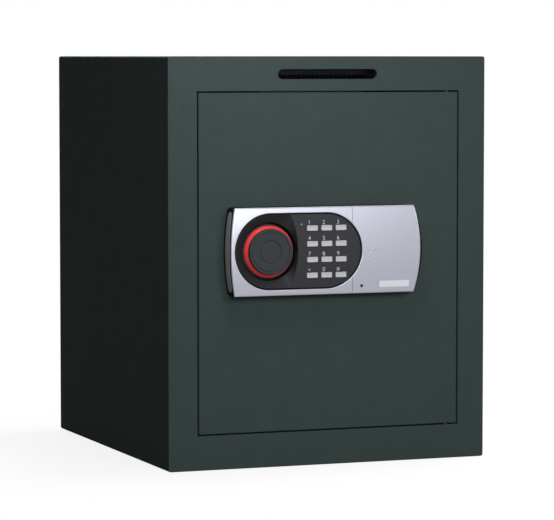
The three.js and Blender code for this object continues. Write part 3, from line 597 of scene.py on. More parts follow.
def edge_section(corners: Sequence[Corner], first: float, last: float, steps: int) -> Loop:
    """Rounds a section's corners between two faces, of which only the directions are used.

    Args:
        corners: The corners as (inset, level, radius), from the front face to the back one.
        first: An inset on the first face, past its first corner's arc.
        last: An inset on the last face, past its last corner's arc.
        steps: Straight steps in each arc.

    Returns:
        The section, without the two ends.
    """
    chain = [(first, corners[0][1], 0), *corners, (last, corners[-1][1], 0)]
    return rounded(chain, steps, closed=False)[1:-1]


def stack(mesh: Mesh, loop: Loop, section: Sequence[Point], inwards: int) -> list[list]:
    """Adds the walls that an outline sweeps along a section.

    Args:
        mesh: The mesh that they are added to.
        loop: The outline, counter-clockwise.
        section: The section as (inset, level).
        inwards: 1 where an inset moves the outline inwards, and -1 for a hole.

    Returns:
        The edges of its first and of its last row.
    """
    rows = [ring(mesh, offset(loop, inwards * inset), level) for inset, level in section]
    skin(mesh, rows)
    return [closing(mesh, rows[0]), closing(mesh, rows[-1])]


def plate(outer: Rim, holes: Sequence[Rim], front: float, back: float, steps: int = 4) -> Mesh:
    """Makes a plate with rounded edges and holes through it.

    Args:
        outer: Its outline.
        holes: The outlines of its holes.
        front: The y of its front.
        back: The y of its back.
        steps: Straight steps in the arc of each edge.

    Returns:
        The solid.
    """
    mesh = bmesh.new()
    ends = [stack(mesh, outer.loop, outer.section(front, back, steps), 1)]
    ends += [stack(mesh, hole.loop, hole.section(front, back, steps), -1) for hole in holes]
    for cap in zip(*ends):
        edges = [edge for part in cap for edge in part]
        bmesh.ops.triangle_fill(mesh, use_beauty=True, edges=edges)
    return outwards(mesh)


def tub(loop: Loop, section: Sequence[Point]) -> Mesh:
    """Sweeps an outline along a section, and fills both ends.

    Args:
        loop: The outline, counter-clockwise.
        section: The section as (inset, level).

    Returns:
        The solid.
    """
    mesh = bmesh.new()
    for edges in stack(mesh, loop, section, 1):
        bmesh.ops.triangle_fill(mesh, use_beauty=True, edges=edges)
    return outwards(mesh)


def turned(profile: Sequence[Corner], centre: Point, steps: int = 96, wrap: bool = False) -> Mesh:
    """Turns a profile about an axis along Y.

    Args:
        profile: Corners as (radius, y, rounding), from axis to axis, or a ring if wrap is set.
        centre: Where the axis is, as x and z.
        steps: Faces round the axis.
        wrap: Whether the profile is a closed ring clear of the axis.

    Returns:
        The solid.
    """
    mesh = bmesh.new()
    rows = []
    for radius, level in rounded(profile, ARC_STEPS, closed=wrap):
        loop = [centre] if radius < ON_AXIS else circle(centre, radius, steps)
        rows.append(ring(mesh, loop, level))
    skin(mesh, rows, wrap)
    return outwards(mesh)


def rod(start: Sequence[float], end: Sequence[float], radius: float, steps: int = 48) -> Mesh:
    """Makes a cylinder.

    Args:
        start: The middle of one end.
        end: The middle of the other.
        radius: Its radius.
        steps: Faces round it.

    Returns:
        The solid.
    """
    first, last = Vector(start), Vector(end)
    turn = (last - first).to_track_quat("Z", "Y").to_matrix().to_4x4()
    mesh = bmesh.new()
    bmesh.ops.create_cone(
        mesh, cap_ends=True, segments=steps, radius1=radius, radius2=radius,
        depth=(last - first).length, matrix=Matrix.Translation((first + last) / 2) @ turn)
    return mesh


def block(low: Sequence[float], high: Sequence[float]) -> Mesh:
    """Makes a box.

    Args:
        low: Its lowest corner.
        high: Its highest corner.

    Returns:
        The solid.
    """
    mesh = bmesh.new()
    size = Vector(high) - Vector(low)
    middle = Matrix.Translation((Vector(low) + Vector(high)) / 2)
    bmesh.ops.create_cube(mesh, size=1, matrix=middle @ Matrix.Diagonal((*size, 1)))
    return mesh


def moved(mesh: Mesh, matrix: Matrix) -> Mesh:
    """Moves a solid, and keeps its faces outwards."""
    bmesh.ops.transform(mesh, matrix=matrix, verts=mesh.verts[:])
    return outwards(mesh)


def joined(parts: Iterable[Mesh]) -> Mesh:
    """Puts separate solids into one mesh.

    Args:
        parts: The solids, which are used up.

    Returns:
        The mesh.
    """
    whole = bmesh.new()
    for part in parts:
        data = bpy.data.meshes.new("part")
        part.to_mesh(data)
        part.free()
        whole.from_mesh(data)
        bpy.data.meshes.remove(data)
    return whole


def sliced(mesh: Mesh, levels: Iterable[float]) -> Mesh:
    """Adds points to a solid wherever it crosses some heights.

    Args:
        mesh: The solid.
        levels: The heights.

    Returns:
        The same solid.
    """
    for level in levels:
        parts = mesh.verts[:] + mesh.edges[:] + mesh.faces[:]
        bmesh.ops.bisect_plane(mesh, geom=parts, plane_co=(0, 0, level), plane_no=(0, 0, 1))
    return mesh


def bent(mesh: Mesh, levels: Iterable[float], drop: Callable[[float], float]) -> Mesh:
    """Slices a solid, and moves its points back.

    Args:
        mesh: The solid.
        levels: The heights at which it is sliced first.
        drop: How far back a point moves, by its height.

    Returns:
        The same solid.
    """
    for vertex in sliced(mesh, levels).verts:
        vertex.co.y += drop(vertex.co.z)
    return mesh


def halved(mesh: Mesh, x: float, keep_left: bool) -> Mesh:
    """Cuts a solid in two, and closes the cut.

    Args:
        mesh: The solid.
        x: Where it is cut.
        keep_left: Whether its left side is kept.

    Returns:
        The side that is kept.
    """
    parts = mesh.verts[:] + mesh.edges[:] + mesh.faces[:]
    bmesh.ops.bisect_plane(
        mesh, geom=parts, plane_co=(x, 0, 0), plane_no=(1, 0, 0), clear_outer=keep_left,
        clear_inner=not keep_left)
    bmesh.ops.holes_fill(mesh, edges=[edge for edge in mesh.edges if edge.is_boundary], sides=0)
    return outwards(mesh)


def temporary(mesh: Mesh) -> bpy.types.Object:
    """Turns a solid into an object that is removed later.

    Args:
        mesh: The solid, which is used up.

    Returns:
        The object.
    """
    data = bpy.data.meshes.new("temporary")
    mesh.to_mesh(data)
    mesh.free()
    made = bpy.data.objects.new("temporary", data)
    bpy.context.scene.collection.objects.link(made)
    return made


def evaluated(thing: bpy.types.Object) -> bpy.types.Mesh:
    """Returns an object's mesh with its modifiers applied."""
    graph = bpy.context.evaluated_depsgraph_get()
    return bpy.data.meshes.new_from_object(thing.evaluated_get(graph))


def discard(thing: bpy.types.Object) -> None:
    """Removes an object and its data.

    Args:
        thing: The object, which is a mesh or a text.
    """
    data = thing.data
    bpy.data.objects.remove(thing)
    if isinstance(data, bpy.types.Mesh):
        bpy.data.meshes.remove(data)
    else:
        bpy.data.curves.remove(data)


def combined(body: Mesh, tools: Iterable[Mesh], operation: Operation) -> Mesh:
    """Cuts other solids out of a solid, or joins them to it.

    Args:
        body: The solid, which is used up.
        tools: The other solids, which are used up.
        operation: What they do to it.

    Returns:
        The new solid.
    """
    base = temporary(body)
    others = [temporary(tool) for tool in tools]
    for other in others:
        step = base.modifiers.new("combine", "BOOLEAN")
        step.operation, step.object, step.solver = str(operation), other, "EXACT"
    result = bmesh.new()
    data = evaluated(base)
    result.from_mesh(data)
    bpy.data.meshes.remove(data)
    for thing in (base, *others):
        discard(thing)
    return result


@dataclass(frozen=True)
class Box:
    """The room that one or more nodes of the model take at rest."""

    low: Vector
    high: Vector

    @classmethod
    def of(cls, *nodes: str) -> Box:
        """Returns the room that some nodes take together."""
        lows, highs = zip(*(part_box(node) for node in nodes))
        return cls(Vector(map(min, zip(*lows))), Vector(map(max, zip(*highs))))

    @property
    def left(self) -> float:
        """Its lowest x."""
        return self.low.x

    @property
    def right(self) -> float:
        """Its highest x."""
        return self.high.x

    @property
    def front(self) -> float:
        """Its lowest y."""
        return self.low.y

    @property
    def back(self) -> float:
        """Its highest y."""
        return self.high.y

    @property
    def bottom(self) -> float:
        """Its lowest z."""
        return self.low.z

    @property
    def top(self) -> float:
        """Its highest z."""
        return self.high.z

    @property
    def middle(self) -> Vector:
        """Its centre."""
        return (self.low + self.high) / 2


class Workshop:
    """Turns solids into named pieces that ride on the model's bodies."""

    SHARP_ANGLE = math.radians(32)
    FLAT_ANGLE = math.radians(0.5)
    EDGE_ANGLE = math.radians(40)
    MERGE_DISTANCE = 0.00001

    def __init__(self, frame: dict) -> None:
        """Keeps the loaded frame."""
        self.frame = frame

    def publish(
        self, name: str, solid: Mesh | bpy.types.Mesh, finish: Finish, body: str,
        replaces: Sequence[str] = (),
    ) -> bpy.types.Object:
        """Makes a piece.

        Args:
            name: The piece's name.
            solid: Its shape, in place.
            finish: What it is made of.
            body: The body that it rides on.
            replaces: The nodes of the model that it stands for.

        Returns:
            The piece.
        """
        if isinstance(solid, bmesh.types.BMesh):
            data = bpy.data.meshes.new(name)
            solid.to_mesh(data)
            solid.free()
        else:
            data = solid
            data.name = name
        data.materials.clear()
        data.materials.append(finish.material())
        data.shade_smooth()
        data.set_sharp_from_angle(angle=self.SHARP_ANGLE)
        piece = bpy.data.objects.new(name, data)
        bpy.context.scene.collection.objects.link(piece)
        weighted = piece.modifiers.new("weighted_normals", "WEIGHTED_NORMAL")
        weighted.keep_sharp = True
        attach(piece, str(body))
        if replaces:
            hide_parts(*replaces)
        data.calc_loop_triangles()
        LOG.info("%s: %d triangles, on %s", name, len(data.loop_triangles), body)
        return piece

    def refined(self, node: str, finish: Finish, body: str, edge: float = 0.0003) -> None:
        """Makes a piece from a node's own shape, with its sharp edges softened.

        Args:
            node: The node, which the piece stands for.
            finish: What it is made of.
            body: The body that it rides on.
            edge: The width of its softened edges.
        """
        mesh = bmesh.new()
        mesh.from_mesh(self.frame["nodes"][node].data)
        bmesh.ops.remove_doubles(mesh, verts=mesh.verts[:], dist=self.MERGE_DISTANCE)
        bmesh.ops.dissolve_limit(
            mesh, angle_limit=self.FLAT_ANGLE, verts=mesh.verts[:], edges=mesh.edges[:])
        piece = self.publish(f"{node}_fine", mesh, finish, body, [node])
        bevel = piece.modifiers.new("soft_edges", "BEVEL")
        bevel.width, bevel.segments = edge, 2
        bevel.limit_method, bevel.angle_limit = "ANGLE", self.EDGE_ANGLE
        # The bevel has to come before the weighted normals.
        piece.modifiers.move(1, 0)

    def dressed(self, node: str, finish: Finish) -> None:
        """Keeps a node of the model, and gives it a finish.

        Args:
            node: The node.
            finish: What it is made of.
        """
        thing = self.frame["nodes"][node]
        thing.material_slots[0].link = "OBJECT"
        thing.material_slots[0].material = finish.material()
        LOG.info("%s: kept", node)


class CopyGrid:
    """Geometry Nodes that repeat one part over a grid of places in an upright plane."""

    INPUTS = {
        "Part": "NodeSocketObject",
        "Columns": "NodeSocketInt",
        "Rows": "NodeSocketInt",
        "Column Pitch": "NodeSocketFloat",
        "Row Pitch": "NodeSocketFloat",
        "Middle": "NodeSocketVector",
        "Material": "NodeSocketMaterial",
    }

    def __init__(self) -> None:
        """Builds the tree."""
        self.tree = bpy.data.node_groups.new("copy_grid", "GeometryNodeTree")
        for name, kind in self.INPUTS.items():
            self.tree.interface.new_socket(name, in_out="INPUT", socket_type=kind)
        self.tree.interface.new_socket("Geometry", in_out="OUTPUT", socket_type="NodeSocketGeometry")
        graph = Graph(self.tree)
        given = self.tree.nodes.new("NodeGroupInput").outputs
        value = {name: Socket(graph, given[name]) for name in self.INPUTS}
        places = graph.node("GeometryNodeMeshGrid", inputs={
            "Size X": (value["Columns"] - 1) * value["Column Pitch"],
            "Size Y": (value["Rows"] - 1) * value["Row Pitch"],
            "Vertices X": value["Columns"],
            "Vertices Y": value["Rows"],
        })
        upright = graph.node("GeometryNodeTransform", inputs={
            "Geometry": places, "Translation": value["Middle"], "Rotation": (math.pi / 2, 0, 0)})
        part = graph.node(
            "GeometryNodeObjectInfo", inputs={"Object": value["Part"]}, output="Geometry")
        copies = graph.node(
            "GeometryNodeInstanceOnPoints", inputs={"Points": upright, "Instance": part})
        whole = graph.node("GeometryNodeRealizeInstances", inputs={"Geometry": copies})
        dressed = graph.node(
            "GeometryNodeSetMaterial", inputs={"Geometry": whole, "Material": value["Material"]})
        graph.end("NodeGroupOutput", dressed)

    def copies(
        self, part: Mesh, columns: int, rows: int, pitch: Point, middle: Sequence[float],
        finish: Finish,
    ) -> bpy.types.Mesh:
        """Repeats a part.

        Args:
            part: The part, drawn about the origin.
            columns: How many copies lie side by side.
            rows: How many lie one over the other.
            pitch: The steps between columns and between rows.
            middle: The middle of the grid.
            finish: What the copies are made of.

        Returns:
            The copies as one mesh.
        """
        template = temporary(part)
        holder = bpy.data.objects.new("copies", bpy.data.meshes.new("copies"))
        bpy.context.scene.collection.objects.link(holder)
        step = holder.modifiers.new("copies", "NODES")
        step.node_group = self.tree
        values = (template, columns, rows, *pitch, tuple(middle), finish.material())
        sockets = [s for s in self.tree.interface.items_tree if s.in_out == "INPUT"]
        for socket, value in zip(sockets, values):
            step[socket.identifier] = value
        result = evaluated(holder)
        discard(holder)
        discard(template)
        return result


# Sub-assemblies


@dataclass
class Case:
    """The welded case: wrap, back panel, front frame, jamb, deposit chute and anchor plugs."""

    workshop: Workshop
    grid: CopyGrid
    edge_radius: float = 0.003
    bend_radius: float = 0.0008
    wall: float = 0.004
    frame_edge: float = 0.0008
    opening_edge: float = 0.0007
    back_edge: float = 0.0014
    seam_edge: float = 0.0004
    baffle_edge: float = 0.0002
    door_gap: float = 0.0017
    slot_length: float = 0.130
    slot_height: float = 0.012
    slot_below_chute_top: float = 0.010
    slot_lip: float = 0.005
    slot_edge: float = 0.0007
    pocket_gap: float = 0.0003
    anchor_radius: float = 0.006
    plug_gap: float = 0.0002
    plug_dome: float = 0.0008
    plug_edge: float = 0.0005
    plug_root: float = 0.0003
    plug_crown: float = 0.002
    pin_gap: float = 0.0003

    def build(self) -> None:
        """Makes all the pieces of the case."""
        self.make_wrap()
        self.make_back()
        self.make_frame()
        self.make_plugs()
        shop = self.workshop
        shop.refined("door_jamb", GREEN_COAT, Body.CASE, self.seam_edge)
        shop.refined("deposit_chute", DARK_STEEL, Body.CASE)
        shop.refined("anti_fish_baffle", ZINC, Body.CASE, self.baffle_edge)
        for pin in PINS:
            shop.dressed(pin, PIN_STEEL)

    def outline(self) -> Loop:
        """Returns the case's outline from the front."""
        room = Box.of("front_frame")
        return rectangle(room.left, room.right, room.bottom, room.top, self.edge_radius)

    def make_wrap(self) -> None:
        """Makes the folded top, floor and sides, with the anchor holes in the floor."""
        room = Box.of("case_wrap")
        inner = rectangle(
            room.left + self.wall, room.right - self.wall, room.bottom + self.wall,
            room.top - self.wall, self.bend_radius)
        solid = plate(
            Rim(self.outline(), 0, self.seam_edge), [Rim(inner)], room.front, room.back)
        below, above = room.bottom - self.wall, room.bottom + 2 * self.wall
        holes = []
        for side in ("left", "right"):
            x, y, _ = Box.of(f"anchor_plug_{side}").middle
            holes.append(rod((x, y, below), (x, y, above), self.anchor_radius))
        solid = combined(solid, holes, Operation.CUT)
        self.workshop.publish("case_wrap_fine", solid, GREEN_COAT, Body.CASE, ["case_wrap"])

    def make_back(self) -> None:
        """Makes the back panel."""
        room = Box.of("back_panel")
        solid = plate(Rim(self.outline(), self.seam_edge, self.back_edge), [], room.front, room.back)
        self.workshop.publish("back_panel_fine", solid, GREEN_COAT, Body.CASE, ["back_panel"])

    def make_frame(self) -> None:
        """Makes the front frame, with the door opening and the deposit slot."""
        room, door, chute = Box.of("front_frame"), Box.of("door_plate"), Box.of("deposit_chute")
        gap = self.door_gap
        opening = rectangle(door.left - gap, door.right + gap, door.bottom - gap, door.top + gap)
        level = chute.top - self.slot_below_chute_top
        reach = (self.slot_length - self.slot_height) / 2
        slot = stadium(
            chute.middle.x - reach, chute.middle.x + reach, level, self.slot_height / 2, steps=16)
        solid = plate(
            Rim(self.outline(), self.frame_edge),
            [Rim(opening, self.opening_edge), Rim(slot, self.slot_edge)], room.front, room.back)
        tall = self.slot_below_chute_top + self.pocket_gap
        pocket = block(
            (chute.left - self.pocket_gap, room.front + self.slot_lip, level - tall),
            (chute.right + self.pocket_gap, room.back + self.slot_lip, level + tall))
        solid = combined(solid, [pocket, *self.pin_bores()], Operation.CUT)
        self.workshop.publish("front_frame_fine", solid, GREEN_COAT, Body.CASE, ["front_frame"])

    def pin_bores(self) -> list[Mesh]:
        """Returns the bores that the hinge pins sit in.

        Returns:
            One rod for each pin, a little larger than the pin.
        """
        bores = []
        for name in PINS:
            pin = Box.of(name)
            radius = (pin.right - pin.left) / 2 + self.pin_gap
            x, y, _ = pin.middle
            low, high = pin.bottom - self.pin_gap, pin.top + self.pin_gap
            bores.append(rod((x, y, low), (x, y, high), radius, steps=24))
        return bores

    def make_plugs(self) -> None:
        """Makes the rubber plugs in the anchor holes."""
        left, right = Box.of("anchor_plug_left"), Box.of("anchor_plug_right")
        flange = (left.right - left.left) / 2
        floor = self.wall + self.plug_gap
        bottom, top = left.bottom, left.top
        neck = self.anchor_radius - self.plug_gap
        profile = [
            (0, bottom, 0), (neck, bottom, self.plug_edge), (neck, floor, 0),
            (flange, floor, self.plug_root), (flange, top - self.plug_dome, self.plug_edge),
            (flange / 2, top, self.plug_crown), (0, top, 0),
        ]
        part = moved(turned(profile, (0, 0), steps=48), Matrix.Rotation(math.pi / 2, 4, "X"))
        middle = ((left.middle.x + right.middle.x) / 2, left.middle.y, 0)
        solid = self.grid.copies(part, 2, 1, (right.middle.x - left.middle.x, 0), middle, RUBBER)
        self.workshop.publish(
            "anchor_plugs", solid, RUBBER, Body.CASE, ["anchor_plug_left", "anchor_plug_right"])


@dataclass
class Door:
    """The door plate, its inner cover with the screws, and the dead bar."""

    workshop: Workshop
    grid: CopyGrid
    case: Case
    thickness: float = 0.008
    edge: float = 0.0012
    corner: float = 0.0010
    back_edge: float = 0.0003
    bushing_radius: float = 0.0063
    lock_radius: float = 0.0096
    cover_wall: float = 0.002
    cover_corner: float = 0.004
    cover_edge: float = 0.003
    cover_inner_edge: float = 0.0015
    bolt_hole_gap: float = 0.0006
    bar_edge: float = 0.0006
    post_radius: float = 0.005
    post_sunk: float = 0.001
    screws: int = 4
    screw_tip_edge: float = 0.0004
    screw_head_edge: float = 0.0003
    screw_shoulder: float = 0.45
    screw_shoulder_edge: float = 0.0006
    screw_crown: float = 0.55
    screw_crown_edge: float = 0.0016
    screw_recess_width: float = 0.0011
    screw_recess_length: float = 0.0046
    screw_recess_depth: float = 0.0014

    def build(self) -> None:
        """Makes all the pieces of the door but the lock."""
        self.make_plate()
        self.make_cover()
        self.make_screws()
        self.workshop.refined("dead_bar", ZINC, Body.DOOR, self.bar_edge)

    def screw_names(self) -> list[str]:
        """Returns the names of the cover's screws in the model."""
        return [f"inner_cover_screw_{number}" for number in range(1, self.screws + 1)]

    def make_plate(self) -> None:
        """Makes the door plate with the posts on its back."""
        room = Box.of("door_plate")
        knob, lock = Box.of("knob").middle, Box.of("override_plug").middle
        back = room.front + self.thickness
        outline = rectangle(room.left, room.right, room.bottom, room.top, self.corner)
        holes = [
            Rim(circle((knob.x, knob.z), self.bushing_radius, steps=32)),
            Rim(circle((lock.x, lock.z), self.lock_radius, steps=32)),
        ]
        solid = plate(Rim(outline, self.edge, self.back_edge), holes, room.front, back)
        posts = []
        for name in self.screw_names():
            x, _, z = Box.of(name).middle
            posts.append(rod((x, back - self.post_sunk, z), (x, room.back, z), self.post_radius))
        solid = combined(solid, posts, Operation.JOIN)
        solid = combined(solid, self.case.pin_bores(), Operation.CUT)
        self.workshop.publish("door_plate_fine", solid, GREEN_COAT, Body.DOOR, ["door_plate"])

    def make_cover(self) -> None:
        """Makes the pressed cover over the bolt work."""
        room = Box.of("door_inner_cover")
        outline = rectangle(room.left, room.right, room.bottom, room.top, self.cover_corner)
        wall, far = self.cover_wall, 2 * self.cover_edge + self.cover_wall
        corners = [
            (wall, room.back - wall, self.cover_inner_edge), (wall, room.front, 0),
            (0, room.front, 0), (0, room.back, self.cover_edge),
        ]
        solid = tub(outline, edge_section(corners, far, far, ARC_STEPS))
        bolts = [Box.of(name) for name in BOLTS]
        radius = (bolts[0].top - bolts[0].bottom) / 2 + self.bolt_hole_gap
        holes = [
            rod((room.left - wall, bolt.middle.y, bolt.middle.z),
                (room.left + 2 * wall, bolt.middle.y, bolt.middle.z), radius)
            for bolt in bolts
        ]
        solid = combined(solid, holes, Operation.CUT)
        self.workshop.publish(
            "inner_cover_fine", solid, GREEN_COAT, Body.DOOR, ["door_inner_cover"])

    def make_screws(self) -> None:
        """Makes the pan-head screws that hold the cover."""
        names = self.screw_names()
        every, one = Box.of(*names), Box.of(names[0])
        cover = Box.of("door_inner_cover")
        head, rise = (one.right - one.left) / 2, one.back - cover.back
        tip, shank = one.front - cover.back, head / 2
        profile = [
            (0, tip, 0), (shank, tip, self.screw_tip_edge), (shank, 0, 0),
            (head, 0, self.screw_head_edge),
            (head, rise * self.screw_shoulder, self.screw_shoulder_edge),
            (head * self.screw_crown, rise, self.screw_crown_edge), (0, rise, 0),
        ]
        part = turned(profile, (0, 0), steps=40)
        half, long = self.screw_recess_width / 2, self.screw_recess_length / 2
        slots = [
            block((-across, rise - self.screw_recess_depth, -up), (across, 2 * rise, up))
            for across, up in ((half, long), (long, half))
        ]
        part = combined(part, slots, Operation.CUT)
        width = every.right - every.left - 2 * head
        height = every.top - every.bottom - 2 * head
        middle = (every.middle.x, cover.back, every.middle.z)
        solid = self.grid.copies(part, 2, self.screws // 2, (width, height), middle, ZINC)
        self.workshop.publish("inner_cover_screws", solid, ZINC, Body.DOOR, names)


@dataclass
class BoltWork:
    """The locking bolts, their carriage and the solenoid that blocks it."""

    workshop: Workshop
    grid: CopyGrid
    tip: float = 0.0015
    tip_edge: float = 0.0005
    shoulder_edge: float = 0.0008
    root_edge: float = 0.0003

    def build(self) -> None:
        """Makes the bolts and dresses what lies under the inner cover."""
        self.make_bolts()
        shop = self.workshop
        shop.refined("bolt_carriage", ZINC, Body.BOLTS)
        shop.refined("solenoid_frame", DARK_STEEL, Body.DOOR)
        shop.refined("solenoid_coil", TAPE, Body.DOOR)
        shop.refined("solenoid_plunger", ZINC, Body.PLUNGER)
        for name in ("guide_screw_lower", "guide_screw_upper"):
            shop.refined(name, DARK_STEEL, Body.DOOR)

    def make_bolts(self) -> None:
        """Makes the three round bolts."""
        every, one = Box.of(*BOLTS), Box.of(BOLTS[0])
        radius, half = (one.top - one.bottom) / 2, (one.right - one.left) / 2
        profile = [
            (0, -half, 0), (radius - self.tip, -half, self.tip_edge),
            (radius, -half + self.tip, self.shoulder_edge), (radius, half, self.root_edge),
            (0, half, 0),
        ]
        part = moved(turned(profile, (0, 0), steps=64), Matrix.Rotation(-math.pi / 2, 4, "Z"))
        pitch = (every.top - every.bottom - 2 * radius) / (len(BOLTS) - 1)
        solid = self.grid.copies(part, 1, len(BOLTS), (0, pitch), every.middle, ZINC)
        self.workshop.publish("locking_bolts", solid, ZINC, Body.BOLTS, BOLTS)


@dataclass
class LockPanel:
    """The electronic lock's housing, face plate, battery cover and what they carry."""

    workshop: Workshop
    bulge_left: float = 0.0053
    bulge_right: float = 0.0080
    corner: float = 0.0012
    crown_rise: float = 0.0025
    crown_slices: int = 26
    shell: float = 0.0025
    shell_edge: float = 0.0018
    shell_back_edge: float = 0.0003
    rim_gap: float = 0.0003
    housing_wall: float = 0.0025
    housing_floor: float = 0.002
    housing_floor_reach: float = 0.01
    housing_edge: float = 0.0010
    housing_corner: float = 0.0045
    lip_reach: float = 0.0032
    # A thin black sheet past the housing's right end is a painted shadow on the door.
    lip_seat: float = 0.0010
    lip_depth: float = 0.0040
    lip_share: float = 0.97
    # The black housing left bare by the trims' margins and narrowing ends is painted shade.
    trim_back: float = 0.0065
    trim_front: float = 0.0040
    trim_reach: float = 0.90
    trim_proud: float = 0.0003
    trim_sunk: float = 0.0008
    trim_corner: float = 0.0015
    trim_edge: float = 0.0002
    trim_taper: float = 0.1
    trim_steps: int = 28
    hole_edge: float = 0.0009
    seam_gap: float = 0.0004
    insert_radius: float = 0.0463
    screw_radius: float = 0.0016
    screw_gap: float = 0.0003
    screw_sunk: float = 0.0008
    screw_face: float = 0.7
    screw_chamfer: float = 0.0003
    screw_edge: float = 0.0002
    dimple_radius: float = 0.0016
    dimple_depth: float = 0.0006
    dimples: tuple[Point, ...] = (
        (0.0200, 0.0132), (0.0225, -0.0020), (0.0301, -0.0020), (0.0200, -0.0164))
    label_left: float = 0.0695
    label_right: float = 0.1089
    label_middle: float = -0.04255
    label_height: float = 0.0079
    label_thickness: float = 0.00012
    label_corner: float = 0.0006
    label_slices: int = 4

    def __post_init__(self) -> None:
        """Finds the panel's places in the model."""
        self.room = Box.of("lock_housing")
        face, insert, cover = Box.of("face_plate"), Box.of("keypad_insert"), Box.of("battery_cover")
        self.x, self.z = self.room.middle.x, self.room.middle.z
        self.half_length = (self.room.right - self.room.left) / 2
        self.half_height = (self.room.top - self.room.bottom) / 2
        self.front, self.insert_front = face.front, insert.front
        self.seam = (face.right + cover.left) / 2
        self.knob_x = Box.of("knob").middle.x
        self.right_x = insert.right - (insert.top - insert.bottom) / 2

    def drop(self, z: float) -> float:
        """Returns how far back the crowned front is at a height."""
        return self.crown_rise * ((z - self.z) / self.half_height) ** 2

    def slices(self) -> list[float]:
        """Returns the heights at which crowned pieces are sliced."""
        step = 2 * self.half_height / self.crown_slices
        return [self.z - self.half_height + step * number for number in range(1, self.crown_slices)]

    def end_arc(self, side: int, steps: int = 32, share: float = 1.0, more: float = 0.0) -> Loop:
        """Returns the arc of a bulging end.

        Args:
            side: -1 for the left end and 1 for the right one.
            steps: Straight steps in the arc.
            share: The middle share of the arc that is wanted.
            more: How much further out its middle is.

        Returns:
            The points of the arc, counter-clockwise.
        """
        bulge = (self.bulge_right if side > 0 else self.bulge_left) + more
        radius = (self.half_height ** 2 + bulge ** 2) / (2 * bulge)
        angle = math.asin(self.half_height / radius)
        centre = (self.x + side * (self.half_length + more - radius), self.z)
        middle = 0 if side > 0 else math.pi
        return arc(centre, radius, middle - angle * share, middle + angle * share, steps)

    def outline(self, corner: float) -> Loop:
        """Returns the panel's outline, with its bulging ends.

        Args:
            corner: The radius of its corners.

        Returns:
            The outline, counter-clockwise.
        """
        points: list[Corner] = []
        for side in (1, -1):
            line = self.end_arc(side)
            far = [point for point in line if self.half_height - abs(point[1] - self.z) > corner]
            points += [(*line[0], corner), *((*point, 0) for point in far), (*line[-1], corner)]
        return rounded(points, ARC_STEPS)

    def build(self) -> None:
        """Makes all the pieces of the panel."""
        self.make_housing()
        for side, name in ((-1, "left"), (1, "right")):
            self.make_trim(side, f"side_trim_{name}")
        self.make_lip()
        self.make_face()
        self.make_cover()
        self.make_label()

    def make_housing(self) -> None:
        """Makes the housing, a cup whose rim follows the crown, in a near-black tone that is painted
        shade where it shows round the grey side trims.
        """
        back, wall, edge = self.room.back, self.housing_wall, self.housing_edge
        rim = self.front + self.shell + self.rim_gap
        corners = [
            (wall, back - self.housing_floor, 0), (wall, rim, 0), (0, rim, edge), (0, back, edge)]
        far = self.housing_floor_reach
        section = edge_section(corners, wall + far, far, steps=4)
        solid = tub(self.outline(self.housing_corner), section)
        middle = (rim + back) / 2
        for vertex in solid.verts:
            if vertex.co.y < middle:
                vertex.co.y += self.drop(vertex.co.z)
        self.workshop.publish("housing_fine", solid, HOUSING_SHADE_BLACK, Body.DOOR, ["lock_housing"])

    def make_trim(self, side: int, name: str) -> None:
        """Makes a grey strip along one end of the housing, which narrows at its ends, so that the
        near-black housing round it shows as painted shade: a contact shadow at the door, a shadow
        line at the face plate and shaded ends.

        Args:
            side: -1 for the left end and 1 for the right one.
            name: The piece's name.
        """
        back = self.room.back - self.trim_back
        sunk, proud, steps = -self.trim_sunk, self.trim_proud, self.trim_steps
        mesh = bmesh.new()
        rows = []
        line = self.end_arc(side, steps, self.trim_reach)
        for step, (x, z) in enumerate(line):
            ahead, behind = line[min(step + 1, steps)], line[max(step - 1, 0)]
            along = (Vector(ahead) - Vector(behind)).normalized()
            out = Vector((along.y, -along.x))
            front = self.front + self.shell + self.drop(z) + self.trim_front
            past = max(0.0, abs(2 * step / steps - 1) - (1 - self.trim_taper))
            narrow = self.trim_corner * 2 * past / self.trim_taper
            section = rounded([
                (sunk, front + narrow, 0), (proud, front + narrow, self.trim_edge),
                (proud, back - narrow, self.trim_edge), (sunk, back - narrow, 0)], steps=3)
            rows.append([
                mesh.verts.new((x + out.x * far, y, z + out.y * far)) for far, y in section])
        skin(mesh, rows)
        for row in (rows[0], rows[-1]):
            bmesh.ops.triangle_fill(mesh, use_beauty=True, edges=closing(mesh, row))
        self.workshop.publish(name, outwards(mesh), TRIM_GREY, Body.DOOR)

    def make_lip(self) -> None:
        """Makes a thin black sheet past the housing's right end, which stands in as a painted shadow
        on the door beside the panel.
        """
        outer = self.end_arc(1, share=self.lip_share, more=self.lip_reach)
        inner = self.end_arc(1, share=self.lip_share, more=-self.lip_seat)
        front = self.front + self.shell + self.rim_gap
        solid = plate(Rim(outer + inner[::-1]), [], front, front + self.lip_depth, steps=2)
        solid = bent(solid, self.slices(), self.drop)
        self.workshop.publish("housing_lip", solid, HOUSING_SHADE_BLACK, Body.DOOR)

    def shell_plate(self) -> Mesh:
        """Returns the whole silver shell, before it is cut at the seam and crowned.

        Returns:
            The shell as a flat plate.
        """
        opening = stadium(self.knob_x, self.right_x, self.z, self.insert_radius)
        outer = Rim(self.outline(self.corner), self.shell_edge, self.shell_back_edge)
        return plate(
            outer, [Rim(opening, self.hole_edge)], self.front, self.front + self.shell, steps=6)

    def make_face(self) -> None:
        """Makes the silver face plate left of the seam."""
        solid = halved(self.shell_plate(), self.seam - self.seam_gap / 2, keep_left=True)
        solid = bent(solid, self.slices(), self.drop)
        self.workshop.publish("face_plate_fine", solid, SILVER, Body.DOOR, ["face_plate"])

